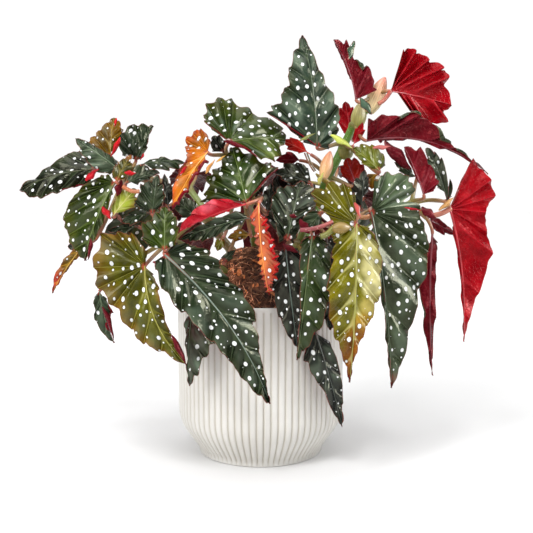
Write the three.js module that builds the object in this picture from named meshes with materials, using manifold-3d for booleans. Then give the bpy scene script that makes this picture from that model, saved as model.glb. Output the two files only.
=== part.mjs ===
// A polka dot begonia in a ribbed pot: pot, soil, jointed canes with their leaf stalks, and one thin
// blade for every leaf. Millimetres, +Z up. The origin is the middle of the pot's foot, on the surface
// that the pot stands on, and the front of the plant faces -Y.
import * as THREE from 'three';
import { mergeVertices } from 'three/addons/utils/BufferGeometryUtils.js';
import Module from 'manifold-3d';

const wasm = await Module();
wasm.setup();

// ---------------------------------------------------------------- driving dimensions

const POT = {
  height: 170, radius: 90.5, wall: 5, floor: 6, // overall sizes
  ribs: 76, groove: 1.1, // upright ribs round the outside, and how deep the grooves between them are
  ribTop: 166, // the ribs stop below the plain rim
  side: [[0, 68], [12, 73.5], [32, 86.5], [50, 90.5]], // height and radius up the rounded lower part
  sides: 30, // facets round the inside
};
const SOIL = {
  level: 152, crown: 222, // height of the soil at the wall and at the top of the mound
  moundX: -8, moundY: -6, // how far the top of the mound is off the middle
  edge: 77, buried: 12, // radius of the mound, and how deep its edge goes into the soil round it
  spread: 0.8, slope: 0.8, // below 1 the mound is fuller at its top
  sectors: 18, rings: 4, rough: 2.6, // facets, and how far they are off a smooth mound
};
const GAP = 0.3; // clearance between neighbouring pieces
const BLADE = 1; // thickness of a leaf blade, measured the way it faces: its slopes are thinner
const CUT = 0.08; // how far a notch cuts in between two teeth, as a share of its distance from the stalk
const WIDE = 0.25; // radians between two teeth below which the notch between them is shallower
const CLOSE = 0.06; // share of the length between neighbours on the edge below which the waves are lower
const ARCH = 0.09; // rise of the midrib above the straight line from stalk to tip, as a share of it
const DROOP = 1.5; // how steeply the lobes behind the stalk hang, as a multiple of the arch
const FOLD = 10; // degrees that each half of a blade slopes down from the midrib
const PLEAT = 0.018; // depth of the valley along each side vein
const WAVE = { height: 0.022, turns: 1.6 }; // slow ripple along the edge of each half of a blade
// Rings of facets between stalk and edge, as shares of the way out, for blades longer than a length.
const BLADE_RINGS = [
  { longer: 125, outs: [0.36, 0.7, 1] },
  { longer: 50, outs: [0.55, 1] },
  { longer: 0, outs: [1] },
];
const STALK = {
  blade: 1.7, cane: 2.3, // radius at the blade and at the cane
  root: 2.5, // where it starts, from the middle of the cane
  near: 0.06, far: 0.34, // shares of its length that it runs straight to the blade, along or square to it
  start: 0.25, rise: 0.12, // where it bends after leaving the cane, and how far that lies above the line
  play: 0.35, // clearance on top of the gap, for a stalk that ends below the blade
  joined: 0.5, // how far the stalk of a small leaf goes into its blade
  sides: 4, steps: 3,
};
const CANE = {
  sides: 6, swelling: 1.35, // a cane swells at its joints
  sink: 150, tip: 7, // it starts at this height in the soil, and goes on this far past its last joint
  lean: 0.1, // share of the way to the middle that its foot lies closer to it
};

// What the pieces look like from a step away.
const COLOURS = {
  pot: '#e4e1da', soil: '#5f4031', stem: '#8c9a4c',
  dark: '#2c4638', green: '#39573f', mid: '#4c6a31', grey: '#4b625a', black: '#2a302d', olive: '#6d7130',
  lime: '#98a43c', ochre: '#9c7f22', orange: '#d2801f', scarlet: '#d0402a', red: '#ad1830',
  crimson: '#7a1730',
};
const ROUGHNESS = { pot: 0.6, soil: 0.95, stem: 0.5, leaf: 0.35 };

// Canes: the middle of each joint from the soil upwards, and the radius at the soil and at the end.
const CANES = {
  left: { joints: [[-22, 4, 205], [-60, 0, 256], [-104, -22, 292], [-134, -44, 303]], radius: [5.5, 4] },
  left_low: { joints: [[-34, -30, 195], [-62, -58, 222], [-86, -82, 236]], radius: [5, 3.6] },
  mid: { joints: [[-4, 16, 212], [-12, -4, 262], [-22, -28, 292], [-34, -44, 318]], radius: [5, 3.4] },
  right_low: { joints: [[26, -26, 200], [40, -52, 232], [48, -62, 256]], radius: [4.6, 3.6] },
  right_tall: {
    joints: [[40, 14, 210], [56, 2, 258], [72, -12, 298], [88, -16, 332], [98, -16, 353], [121, -16, 382]],
    radius: [5.5, 3.6],
  },
  right: { joints: [[56, -8, 200], [92, -34, 238], [126, -40, 262], [158, -34, 272]], radius: [5, 3.4] },
  back_left: { joints: [[-28, 40, 200], [-58, 66, 252], [-84, 86, 284]], radius: [4.6, 3.4] },
  back_right: { joints: [[30, 42, 200], [56, 70, 250], [84, 88, 284]], radius: [4.6, 3.4] },
};

// Leaves: at is the top of the stalk, tip the far end of the blade and face the way its top looks. left
// and right are the tooth tips of each half, from the tip round to the stalk: how far along and how far
// out, in percent of the blade's length. A third number is the depth of the notch after that tooth, joint
// the joint that the stalk leaves, via a point that it bends towards, and bend the bow of the midrib to
// the left, as a share of the length.
const LEAVES = [
  { name: 'far_left', shoot: 'left', colour: 'dark',
    at: [-171, -38, 308], tip: [-254, -25, 286], face: [-0.25, -1, 0.55],
    left: [[89, 12], [72, 21], [48, 24], [25, 18], [9, 18]],
    right: [[78, 8], [56, 19], [33, 28], [17, 32], [1, 19]] },
  { name: 'left_slim', shoot: 'left', colour: 'grey',
    at: [-139, -84, 308], tip: [-183, -72, 338], face: [-0.2, -1, 0.4],
    left: [[77, 16], [54, 22], [29, 28], [6, 18]],
    right: [[83, 6], [58, 9], [34, 11], [10, 11]] },
  { name: 'left_ochre', shoot: 'left', colour: 'ochre',
    at: [-151, -58, 320], tip: [-149, -46, 360], face: [0, -1, 0.3],
    left: [[86, 13], [66, 35], [50, 46], [33, 66], [16, 38]],
    right: [[94, 13], [70, 27], [47, 19], [18, 8]] },
  { name: 'left_crown', shoot: 'left', colour: 'dark',
    at: [-129, -34, 317], tip: [-112, -20, 353], face: [0.1, -1, 0.3],
    left: [[95, 17], [87, 48], [49, 68], [23, 63], [-1, 38]],
    right: [[66, 3], [42, 12], [8, 10]] },
  { name: 'left_olive', shoot: 'left', colour: 'ochre',
    at: [-136, -108, 296], tip: [-123, -100, 321], face: [0, -1, 0.3],
    left: [[78, 18], [52, 23], [22, 30], [4, 20]],
    right: [[75, 17], [59, 36], [19, 20]] },
  { name: 'left_broad', shoot: 'left', colour: 'mid',
    at: [-141, -92, 294], tip: [-174, -84, 217], face: [-0.2, -1, 0.35],
    left: [[84, 5], [68, 7], [49, 9], [31, 7], [12, 5]],
    right: [[94, 19], [81, 32], [67, 47], [50, 49], [27, 41], [7, 28], [-5, 14]] },
  { name: 'left_twist', shoot: 'left', colour: 'ochre',
    at: [-172, -66, 238], tip: [-213, -60, 181], face: [-0.2, -1, 0.2],
    left: [[82, 2], [58, 2], [35, 4], [14, 6]],
    right: [[87, 7], [59, 12], [37, 11], [9, 8]] },
  { name: 'left_lime', shoot: 'left', colour: 'lime',
    at: [-142, -98, 262], tip: [-120, -94, 288], face: [0, -1, 0.3],
    left: [[90, 21], [69, 32], [40, 27], [12, 21]],
    right: [[84, 21], [61, 33], [31, 18]] },
  { name: 'left_flat', shoot: 'left', colour: 'dark',
    at: [-120, -60, 312], tip: [-75, -56, 314], face: [0, -1, 0.9],
    left: [[69, 8], [40, 12], [15, 11]],
    right: [[86, 15], [63, 27], [29, 19]] },
  { name: 'left_star', shoot: 'left_low', colour: 'dark',
    at: [-103, -104, 265], tip: [-98, -98, 302], face: [0, -1, 0.3],
    left: [[81, 21], [72, 43], [50, 38], [27, 53], [6, 37]],
    right: [[78, 16], [51, 27], [24, 23]] },
  { name: 'low_upper', shoot: 'left_low', colour: 'mid',
    at: [-89, -126, 232], tip: [-89, -116, 272], face: [0, -1, 0.3],
    left: [[89, 23], [67, 36], [64, 54], [28, 55], [8, 39]],
    right: [[91, 14], [78, 25], [51, 33], [12, 25]] },
  { name: 'low_olive', shoot: 'left_low', colour: 'olive', bend: -0.09,
    at: [-110, -112, 215], tip: [-70, -120, 120], face: [-0.15, -1, 0.35],
    left: [[79, 4], [68, 7], [50, 9], [25, 12], [10, 8]],
    right: [[79, 11], [67, 22], [49, 26], [23, 36], [2, 51], [-18, 49], [-45, 31], [-40, 14],
      [-34, 1], [-12, -8]] },
  { name: 'low_large', shoot: 'left_low', colour: 'dark', bend: 0.06,
    at: [-89, -126, 227], tip: [10, -118, 81], face: [0, -1, 0.35],
    left: [[93, 1], [81, 4], [71, 7], [57, 14], [40, 18], [31, 15], [22, 17], [12, 19], [3, 14], [-2, 9]],
    right: [[91, 5], [78, 9], [67, 10], [51, 13], [30, 16], [14, 15], [0, 7]] },
  { name: 'low_wavy', shoot: 'left_low', colour: 'dark',
    at: [-66, -92, 171], tip: [-71, -88, 91], face: [-0.3, -1, 0.1],
    left: [[84, 12], [59, 22], [41, 32], [17, 18]],
    right: [[85, 1], [64, 2], [34, 6], [13, 8]] },
  { name: 'low_small', shoot: 'left_low', colour: 'grey',
    at: [-161, -78, 186], tip: [-148, -74, 132], face: [-0.2, -1, 0.1],
    left: [[76, 1], [55, 2], [42, 15], [16, 11]],
    right: [[80, 13], [50, 24], [32, 16], [9, 14]] },
  { name: 'mid_orange', shoot: 'mid', colour: 'orange',
    at: [-51, -84, 324], tip: [-83, -112, 269], face: [-0.2, -1, 0.3],
    left: [[89, 3], [68, 6], [39, 7], [16, 7]],
    right: [[89, 7], [59, 20], [30, 16], [12, 29], [-8, 44], [-25, 42], [-37, 35], [-20, 7]] },
  { name: 'mid_crown', shoot: 'mid', colour: 'mid',
    at: [-30, -78, 334], tip: [26, -52, 337], face: [0, -1, 0.5],
    left: [[106, 27], [57, 57], [32, 86], [16, 94], [-13, 88], [-25, 62], [-28, 49], [-20, 30]],
    right: [[88, 24], [70, 41], [46, 36], [23, 16]] },
  { name: 'mid_fan', shoot: 'mid', colour: 'mid',
    at: [-13, -96, 275], tip: [-28, -58, 329], face: [0, -1, 0.4],
    left: [[94, 10], [71, 29], [60, 48], [36, 52], [24, 66], [8, 26]],
    right: [[86, 21], [63, 43], [50, 60], [34, 42], [9, 15]] },
  { name: 'mid_red', shoot: 'mid', colour: 'red', joint: 1,
    at: [-13, -104, 274], tip: [-78, -112, 247], face: [0, 1, 0.5],
    left: [[74, 18], [51, 25], [32, 21], [13, 10]],
    right: [[83, 1], [67, 2], [48, 3], [25, 3]] },
  { name: 'mid_under', shoot: 'mid', colour: 'dark',
    at: [-9, -90, 260], tip: [-79, -98, 239], face: [0, -1, 0.4],
    left: [[87, 8], [72, 14], [54, 14], [33, 9], [15, 7]],
    right: [[80, 6], [61, 10], [36, 12], [11, 13]] },
  { name: 'mid_spiny', shoot: 'mid', colour: 'scarlet', joint: 1,
    at: [-1, -112, 275], tip: [9, -108, 186], face: [-0.3, -1, 0.2],
    left: [[84, 7], [71, 14], [52, 13], [35, 10], [15, 5]],
    right: [[87, 3], [71, 4], [50, 4], [30, 6], [11, 9]] },
  { name: 'front_star', shoot: 'right_low', colour: 'dark',
    at: [27, -98, 241], tip: [41, -66, 295], face: [0, -1, 0.4],
    left: [[90, 12], [87, 30], [67, 38], [44, 37], [16, 22], [-10, 12]],
    right: [[98, 13], [94, 29], [66, 32], [40, 21], [17, 15], [-6, 11]] },
  { name: 'front_dark', shoot: 'right_low', colour: 'black',
    at: [25, -97, 232], tip: [37, -99, 132], face: [-0.1, -1, 0.25],
    left: [[86, 8], [69, 11], [44, 16], [17, 21], [3, 12]],
    right: [[89, 6], [67, 15], [40, 18], [19, 14], [4, 6]] },
  { name: 'front_wavy', shoot: 'right_low', colour: 'green',
    at: [50, -112, 244], tip: [36, -110, 122], face: [0, -1, 0.25],
    left: [[91, 5], [73, 15], [50, 20], [27, 20], [5, 13], [-1, 5]],
    right: [[91, 1], [61, 2], [30, 6], [9, 9], [1, 5]] },
  { name: 'front_low', shoot: 'right_low', colour: 'black', via: [54, -104, 226],
    at: [55, -84, 147], tip: [84, -76, 45], face: [0.1, -1, 0.1],
    left: [[78, 5], [66, 9], [44, 12], [15, 11]],
    right: [[86, 4], [51, 11], [24, 19], [7, 10]] },
  { name: 'small_front', shoot: 'right_low', colour: 'dark',
    at: [59, -112, 266], tip: [43, -114, 249], face: [0, -1, 0.3],
    left: [[87, 32], [38, 36]],
    right: [[85, 37], [50, 47], [8, 32]] },
  { name: 'yellow', shoot: 'right', colour: 'lime',
    at: [91, -124, 256], tip: [86, -126, 104], face: [0.05, -1, 0.3],
    left: [[87, 1], [73, 4], [61, 9], [47, 15], [28, 17], [13, 15], [2, 8]],
    right: [[87, 4], [72, 11], [60, 15], [41, 18], [21, 15], [11, 14], [-4, 17], [-10, 25],
      [-18, 29], [-25, 19], [-25, 9], [-19, 1]] },
  { name: 'right_large', shoot: 'right', colour: 'dark',
    at: [108, -98, 266], tip: [130, -100, 92], face: [0.1, -1, 0.3],
    left: [[86, 8], [68, 13], [45, 23], [26, 30], [13, 30], [3, 29, 0.55], [-8, 29], [-17, 27],
      [-21, 14], [-17, 5]],
    right: [[85, 1], [70, 2], [50, 2], [28, 3], [11, 3]] },
  { name: 'top_tall', shoot: 'right_tall', colour: 'dark', bend: -0.02,
    at: [57, -66, 330], tip: [43, -40, 443], face: [0, -1, 0.25],
    left: [[88, 9], [72, 17], [54, 22], [40, 34], [35, 42], [19, 24], [5, 12]],
    right: [[86, 4], [65, 8], [49, 14], [32, 21], [12, 20], [-3, 10]] },
  { name: 'top_rolled', shoot: 'right_tall', colour: 'red', bend: 0.06,
    at: [99, -30, 379], tip: [76, -22, 441], face: [0, 1, 0.2],
    left: [[92, 17], [60, 14], [41, 31], [0, 35]],
    right: [[82, 3], [62, 3], [35, 3]] },
  { name: 'top_fan', shoot: 'right_tall', colour: 'red',
    at: [135, -30, 388], tip: [199, -22, 375], face: [0, 1, 0.3],
    left: [[100, 25], [81, 46], [58, 35], [38, 24]],
    right: [[82, 43], [69, 56], [43, 62], [17, 72], [-5, 69]] },
  { name: 'right_long', shoot: 'right_tall', colour: 'crimson', bend: -0.1,
    at: [110, -36, 337], tip: [235, -40, 303], face: [0, 1, 0.4],
    left: [[84, 1], [58, 2], [28, 2], [11, 3]],
    right: [[85, 1], [68, 4], [57, 9], [34, 23], [18, 21], [-5, 21]] },
  { name: 'right_fold', shoot: 'right', colour: 'crimson', bend: 0.03,
    at: [166, -56, 282], tip: [146, -52, 330], face: [0, 1, 0.2],
    left: [[88, 28], [47, 32], [12, 36], [-2, 21]],
    right: [[84, 5], [55, 4], [25, 3]] },
  { name: 'right_zigzag', shoot: 'right', colour: 'dark',
    at: [201, -8, 275], tip: [179, -4, 331], face: [0, -1, 0.2],
    left: [[88, 14], [61, 15], [27, 11]],
    right: [[89, 9], [72, 14, 0.35], [34, 17, 0.35], [3, 11]] },
  { name: 'right_red', shoot: 'right', colour: 'red', bend: -0.058,
    at: [195, -48, 267], tip: [212, -50, 129], face: [0, 1, 0.3],
    left: [[82, 1], [58, 2], [32, 2], [14, 2]],
    right: [[84, 4], [66, 11], [37, 24], [20, 22], [5, 24], [-6, 33], [-18, 31], [-35, 19], [-14, 7]] },
  { name: 'right_hang', shoot: 'right', colour: 'crimson',
    at: [179, -40, 241], tip: [183, -36, 90], face: [0, 1, 0.2],
    left: [[84, 2], [55, 5], [23, 10], [9, 4]],
    right: [[88, 1], [60, 4], [33, 4], [20, 4], [6, 4]] },
  { name: 'right_lime', shoot: 'right_tall', colour: 'lime',
    at: [118, -74, 306], tip: [93, -66, 328], face: [0, -1, 0.3],
    left: [[86, 11], [52, 19], [19, 13]],
    right: [[94, 24], [70, 48], [25, 49], [-2, 28]] },
  { name: 'heart_red', shoot: 'right_tall', colour: 'red',
    at: [100, 14, 342], tip: [92, 12, 381], face: [0, 1, 0.2],
    left: [[82, 19], [46, 20], [14, 11]],
    right: [[87, 19], [53, 31], [18, 21]] },
  { name: 'heart_low', shoot: 'right_tall', colour: 'crimson',
    at: [100, -30, 292], tip: [90, -26, 319], face: [0, 1, 0.2],
    left: [[93, 28], [57, 52], [14, 43]],
    right: [[81, 30], [46, 40]] },
  { name: 'crown_dots', shoot: 'right_low', colour: 'black',
    at: [52, -56, 293], tip: [15, -50, 304], face: [0, -1, 0.5],
    left: [[79, 15], [48, 23], [17, 16]],
    right: [[87, 31], [57, 49], [22, 43]] },
  { name: 'left_inner', shoot: 'left', colour: 'black',
    at: [-104, -44, 270], tip: [-153, -50, 225], face: [-0.1, -1, 0.2],
    left: [[99, 17], [79, 36], [40, 39], [3, 30]],
    right: [[99, 24], [67, 40], [28, 38], [-3, 26]] },
  { name: 'front_inner', shoot: 'right_low', colour: 'black',
    at: [67, -72, 241], tip: [71, -72, 145], face: [0, -1, 0.1],
    left: [[88, 9], [58, 18], [28, 19], [5, 14]],
    right: [[87, 8], [57, 16], [27, 15], [6, 10]] },
];

// Small leaves that stay joined to their stalk.
const SMALL_LEAVES = [
  { name: 'left_wedge', shoot: 'left', colour: 'dark', small: true,
    at: [-131, -88, 293], tip: [-99, -76, 304], face: [0, -1, 0.4],
    left: [[79, 26], [58, 42], [36, 44]], right: [[66, 12], [30, 15]] },
  { name: 'left_tail', shoot: 'left', colour: 'black', small: true,
    at: [-175, -40, 233], tip: [-200, -44, 228], face: [-0.3, -1, 0.1],
    left: [[83, 36], [41, 37]], right: [[75, 20], [31, 31]] },
  { name: 'star_side', shoot: 'left_low', colour: 'black', small: true,
    at: [-90, -84, 268], tip: [-94, -80, 303], face: [0.2, -1, 0.2],
    left: [[74, 15], [34, 21]], right: [[70, 13], [37, 22]] },
  { name: 'low_shade', shoot: 'left_low', colour: 'dark', small: true,
    at: [-120, -82, 251], tip: [-150, -86, 247], face: [0, -1, 0.3],
    left: [[77, 20], [32, 20]], right: [[66, 11], [26, 20]] },
  { name: 'mid_shade', shoot: 'mid', colour: 'black', small: true,
    at: [-37, -50, 325], tip: [-49, -46, 341], face: [0, -1, 0.2],
    left: [[82, 26], [36, 47]], right: [[87, 33], [34, 37]] },
  { name: 'mid_back', shoot: 'mid', colour: 'black', small: true,
    at: [7, -70, 263], tip: [11, -66, 295], face: [0, -1, 0.2],
    left: [[70, 18], [32, 23]], right: [[71, 16], [32, 27]] },
  { name: 'soil_lime', shoot: 'mid', colour: 'lime', small: true,
    at: [-37, -84, 240], tip: [-42, -86, 227], face: [0, -1, 0.4],
    left: [[62, 39], [12, 28]], right: [[81, 30], [31, 41]] },
  { name: 'soil_dark', shoot: 'mid', colour: 'dark', small: true,
    at: [-36, -84, 216], tip: [-24, -80, 228], face: [0, -1, 0.4],
    left: [[61, 25], [9, 31]], right: [[55, 26], [15, 24]] },
  { name: 'soil_ochre', shoot: 'mid', colour: 'ochre', small: true,
    at: [-9, -76, 242], tip: [-32, -80, 240], face: [0, -1, 0.5],
    left: [[76, 23], [32, 19]], right: [[71, 28], [32, 33]] },
  { name: 'right_tip', shoot: 'right', colour: 'dark', small: true,
    at: [163, -36, 299], tip: [139, -36, 315], face: [-0.2, -1, 0.2],
    left: [[70, 18], [26, 18]], right: [[77, 16], [36, 14]] },
  { name: 'right_stripe', shoot: 'right', colour: 'crimson', small: true,
    at: [175, -30, 256], tip: [207, -26, 239], face: [0, 1, 0.3],
    left: [[72, 19], [36, 21]], right: [[63, 11], [25, 17]] },
  { name: 'heart_olive', shoot: 'right_tall', colour: 'ochre', small: true,
    at: [119, -64, 304], tip: [101, -60, 289], face: [0, -1, 0.3],
    left: [[66, 37], [12, 48]], right: [[83, 28], [38, 25]] },
  { name: 'heart_black', shoot: 'right', colour: 'black', small: true,
    at: [101, -74, 268], tip: [104, -68, 307], face: [0, -1, 0.2],
    left: [[78, 19], [51, 32], [21, 27]], right: [[83, 14], [45, 14]] },
  { name: 'heart_bright', shoot: 'right_tall', colour: 'red', small: true,
    at: [96, -36, 332], tip: [106, -34, 356], face: [0, 1, 0.2],
    left: [[76, 22], [30, 21]], right: [[68, 16], [27, 15]] },
  { name: 'crown_red', shoot: 'right_tall', colour: 'crimson', small: true,
    at: [41, -30, 317], tip: [16, -26, 317], face: [0, 1, 0.3],
    left: [[54, 37], [21, 29]], right: [[67, 21], [25, 16]] },
  { name: 'crown_curl', shoot: 'right_tall', colour: 'scarlet', small: true,
    at: [52, -40, 323], tip: [24, -44, 336], face: [0, 1, 0.4],
    left: [[89, 24], [41, 24]], right: [[79, 20], [36, 17]] },
  { name: 'shade_left', shoot: 'left_low', colour: 'dark', small: true,
    at: [-62, -84, 260], tip: [-85, -80, 278], face: [0, -1, 0.3],
    left: [[81, 24], [38, 34]], right: [[79, 29], [39, 43]] },
  { name: 'shade_low', shoot: 'left_low', colour: 'dark', small: true,
    at: [-107, -88, 265], tip: [-135, -92, 256], face: [0, -1, 0.4],
    left: [[80, 23], [38, 22]], right: [[71, 25], [31, 23]] },
  { name: 'mid_inner', shoot: 'mid', colour: 'black', small: true,
    at: [2, -26, 280], tip: [-24, -22, 311], face: [0, -1, 0.2],
    left: [[81, 35], [28, 51]], right: [[93, 34], [40, 58]] },
  { name: 'centre_inner', shoot: 'right_low', colour: 'black', small: true,
    at: [37, -46, 243], tip: [16, -40, 301], face: [0, -1, 0.2],
    left: [[82, 20], [47, 40], [8, 33]], right: [[95, 34], [65, 59], [16, 45]] },
  { name: 'right_inner', shoot: 'right', colour: 'black', small: true,
    at: [94, -52, 237], tip: [92, -46, 280], face: [0, -1, 0.2],
    left: [[78, 34], [31, 41]], right: [[89, 37], [36, 49]] },
];

// Leaves that close the plant at the back.
const BACK_LEAVES = [
  { name: 'back_left_low', shoot: 'back_left', colour: 'dark',
    at: [-70, 96, 238], tip: [-118, 150, 150], face: [-0.4, 1, 0.45],
    left: wing(34, 24), right: wing(22, 16) },
  { name: 'back_left_out', shoot: 'back_left', colour: 'green',
    at: [-112, 78, 268], tip: [-196, 96, 206], face: [-0.6, 0.8, 0.7],
    left: wing(20, 14), right: wing(32, 24) },
  { name: 'back_left_top', shoot: 'back_left', colour: 'mid',
    at: [-78, 104, 304], tip: [-92, 178, 262], face: [-0.1, 0.8, 0.9],
    left: wing(38, 26), right: wing(24, 18) },
  { name: 'back_mid', shoot: 'back_right', colour: 'dark',
    at: [4, 104, 262], tip: [-8, 150, 150], face: [0, 1, 0.35],
    left: wing(24, 16), right: wing(36, 26) },
  { name: 'back_mid_top', shoot: 'back_right', colour: 'green',
    at: [24, 96, 308], tip: [20, 178, 262], face: [0.1, 0.8, 0.9],
    left: wing(34, 24), right: wing(22, 16) },
  { name: 'back_right_low', shoot: 'back_right', colour: 'dark',
    at: [88, 102, 240], tip: [112, 148, 142], face: [0.3, 1, 0.4],
    left: wing(22, 16), right: wing(34, 24) },
  { name: 'back_right_out', shoot: 'back_right', colour: 'green', joint: 1,
    at: [122, 78, 276], tip: [196, 102, 202], face: [0.6, 0.8, 0.7],
    left: wing(34, 24), right: wing(22, 14) },
  { name: 'back_right_top', shoot: 'back_right', colour: 'mid',
    at: [92, 98, 312], tip: [122, 172, 284], face: [0.2, 0.8, 0.9],
    left: wing(22, 16), right: wing(32, 22) },
];

const ALL_LEAVES = [...LEAVES, ...SMALL_LEAVES, ...BACK_LEAVES];

// ---------------------------------------------------------------- small helpers

const vec = (point) => new THREE.Vector3(...point);
const radians = THREE.MathUtils.degToRad;

// A repeatable number from 0 to 1 for any seed.
function draw(seed) {
  const x = Math.sin(seed * 12.9898) * 43758.5453;
  return x - Math.floor(x);
}

// The tooth tips of one half of an angel-wing blade, from its tip round to the stalk: each is how far
// along and how far out, in percent of the distance from stalk to tip.
function wing(width, lobe) {
  return [
    [84, 0.2 * width], [60, 0.58 * width], [34, 0.9 * width], [6, width], [-0.6 * lobe, 0.85 * width],
    [-lobe, 0.45 * width],
  ];
}

function geometryFrom(positions, faces) {
  const geometry = new THREE.BufferGeometry();
  geometry.setAttribute('position', new THREE.Float32BufferAttribute(positions, 3));
  geometry.setIndex(faces);
  return geometry;
}

function solidFrom(geometry) {
  const bare = geometry.clone();
  bare.deleteAttribute('normal');
  bare.deleteAttribute('uv');
  const merged = mergeVertices(bare, 1e-4);
  const mesh = new wasm.Mesh({
    numProp: 3,
    vertProperties: new Float32Array(merged.attributes.position.array),
    triVerts: new Uint32Array(merged.index.array),
  });
  return new wasm.Manifold(mesh);
}

function geometryOf(solid) {
  const mesh = solid.getMesh();
  const faces = Array.from(mesh.triVerts);
  const positions = [];
  for (let i = 0; i < mesh.vertProperties.length; i += mesh.numProp) {
    positions.push(mesh.vertProperties[i], mesh.vertProperties[i + 1], mesh.vertProperties[i + 2]);
  }
  return geometryFrom(positions, faces);
}

// A closed round bar along a curve. radiusAt gives its radius from 0 at the start to 1 at the end.
function bar(curve, radiusAt, sides, steps) {
  const frames = curve.computeFrenetFrames(steps, false);
  const positions = [];
  const faces = [];
  for (let step = 0; step <= steps; step += 1) {
    const centre = curve.getPoint(step / steps);
    const radius = radiusAt(step / steps);
    for (let side = 0; side < sides; side += 1) {
      const turn = (side / sides) * 2 * Math.PI;
      const point = centre.clone();
      point.addScaledVector(frames.normals[step], radius * Math.cos(turn));
      point.addScaledVector(frames.binormals[step], radius * Math.sin(turn));
      positions.push(point.x, point.y, point.z);
    }
  }
  for (let step = 0; step < steps; step += 1) {
    for (let side = 0; side < sides; side += 1) {
      const a = step * sides + side;
      const b = step * sides + (side + 1) % sides;
      faces.push(a, b, b + sides, a, b + sides, a + sides);
    }
  }
  const last = steps * sides;
  for (let side = 1; side < sides - 1; side += 1) {
    faces.push(0, side + 1, side);
    faces.push(last, last + side, last + side + 1);
  }
  return geometryFrom(positions, faces);
}

// ---------------------------------------------------------------- pot and soil

// The pot's outside radius at a height.
function potRadius(z) {
  const next = POT.side.findIndex(([height]) => height > z);
  if (next < 0) return POT.radius;
  const [[z0, r0], [z1, r1]] = [POT.side[next - 1], POT.side[next]];
  return r0 + ((r1 - r0) * (z - z0)) / (z1 - z0);
}

function makePot() {
  const levels = [...POT.side.map(([z]) => z), POT.ribTop, POT.height];
  const columns = 2 * POT.ribs;
  const positions = [];
  const faces = [];
  for (const z of levels) {
    for (let column = 0; column < columns; column += 1) {
      const depth = column % 2 === 1 && z <= POT.ribTop ? POT.groove : 0;
      const radius = potRadius(z) - depth;
      const turn = (column / columns) * 2 * Math.PI;
      positions.push(radius * Math.cos(turn), radius * Math.sin(turn), z);
    }
  }
  for (let level = 0; level < levels.length - 1; level += 1) {
    for (let column = 0; column < columns; column += 1) {
      const a = level * columns + column;
      const b = level * columns + (column + 1) % columns;
      faces.push(a, b, b + columns, a, b + columns, a + columns);
    }
  }
  const foot = positions.length / 3;
  positions.push(0, 0, 0, 0, 0, POT.height);
  const rim = (levels.length - 1) * columns;
  for (let column = 0; column < columns; column += 1) {
    const next = (column + 1) % columns;
    faces.push(foot, next, column);
    faces.push(foot + 1, rim + column, rim + next);
  }
  const block = solidFrom(geometryFrom(positions, faces));
  return block.subtract(solidFrom(potHollow(0, POT.height + POT.wall)));
}

// The space inside the pot up to a height, drawn in by a clearance.
function potHollow(clearance, top) {
  const inner = (z) => potRadius(z) - POT.wall - clearance;
  const low = POT.floor + clearance;
  const profile = [[0, low], [inner(low), low]];
  for (const [z] of POT.side) if (z > low) profile.push([inner(z), z]);
  profile.push([inner(top), top], [0, top]);
  const lathe = new THREE.LatheGeometry(profile.map(([r, z]) => new THREE.Vector2(r, z)), POT.sides);
  lathe.rotateX(Math.PI / 2);
  return lathe;
}

// The soil fills the pot up to its level, with a rough root mound in the middle of it and a plain hole
// for every cane.
function makeSoil() {
  const positions = [SOIL.moundX, SOIL.moundY, SOIL.crown];
  const faces = [];
  const low = SOIL.level - SOIL.buried;
  for (let ring = 1; ring <= SOIL.rings; ring += 1) {
    const share = ring / SOIL.rings;
    const lean = 1 - share;
    for (let sector = 0; sector < SOIL.sectors; sector += 1) {
      const turn = (sector / SOIL.sectors) * 2 * Math.PI;
      const rough = ring < SOIL.rings ? SOIL.rough * (2 * draw(ring * 31 + sector) - 1) : 0;
      const radius = SOIL.edge * share ** SOIL.spread + rough;
      const height = low + (SOIL.crown - low) * Math.cos(share * Math.PI / 2) ** SOIL.slope;
      positions.push(SOIL.moundX * lean + radius * Math.cos(turn));
      positions.push(SOIL.moundY * lean + radius * Math.sin(turn), height + rough);
    }
  }
  const foot = positions.length / 3;
  positions.push(0, 0, low - SOIL.rough);
  for (let sector = 0; sector < SOIL.sectors; sector += 1) {
    const next = (sector + 1) % SOIL.sectors;
    faces.push(0, 1 + sector, 1 + next);
    for (let ring = 1; ring < SOIL.rings; ring += 1) {
      const a = 1 + (ring - 1) * SOIL.sectors + sector;
      const b = 1 + (ring - 1) * SOIL.sectors + next;
      faces.push(a, a + SOIL.sectors, b + SOIL.sectors, a, b + SOIL.sectors, b);
    }
    const edge = 1 + (SOIL.rings - 1) * SOIL.sectors;
    faces.push(foot, edge + next, edge + sector);
  }
  const fill = solidFrom(potHollow(GAP, SOIL.level));
  let soil = fill.add(solidFrom(geometryFrom(positions, faces)));
  for (const cane of Object.values(CANES)) soil = soil.subtract(caneSolid(cane, GAP));
  return soil;
}

// ---------------------------------------------------------------- canes and leaf stalks

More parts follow.
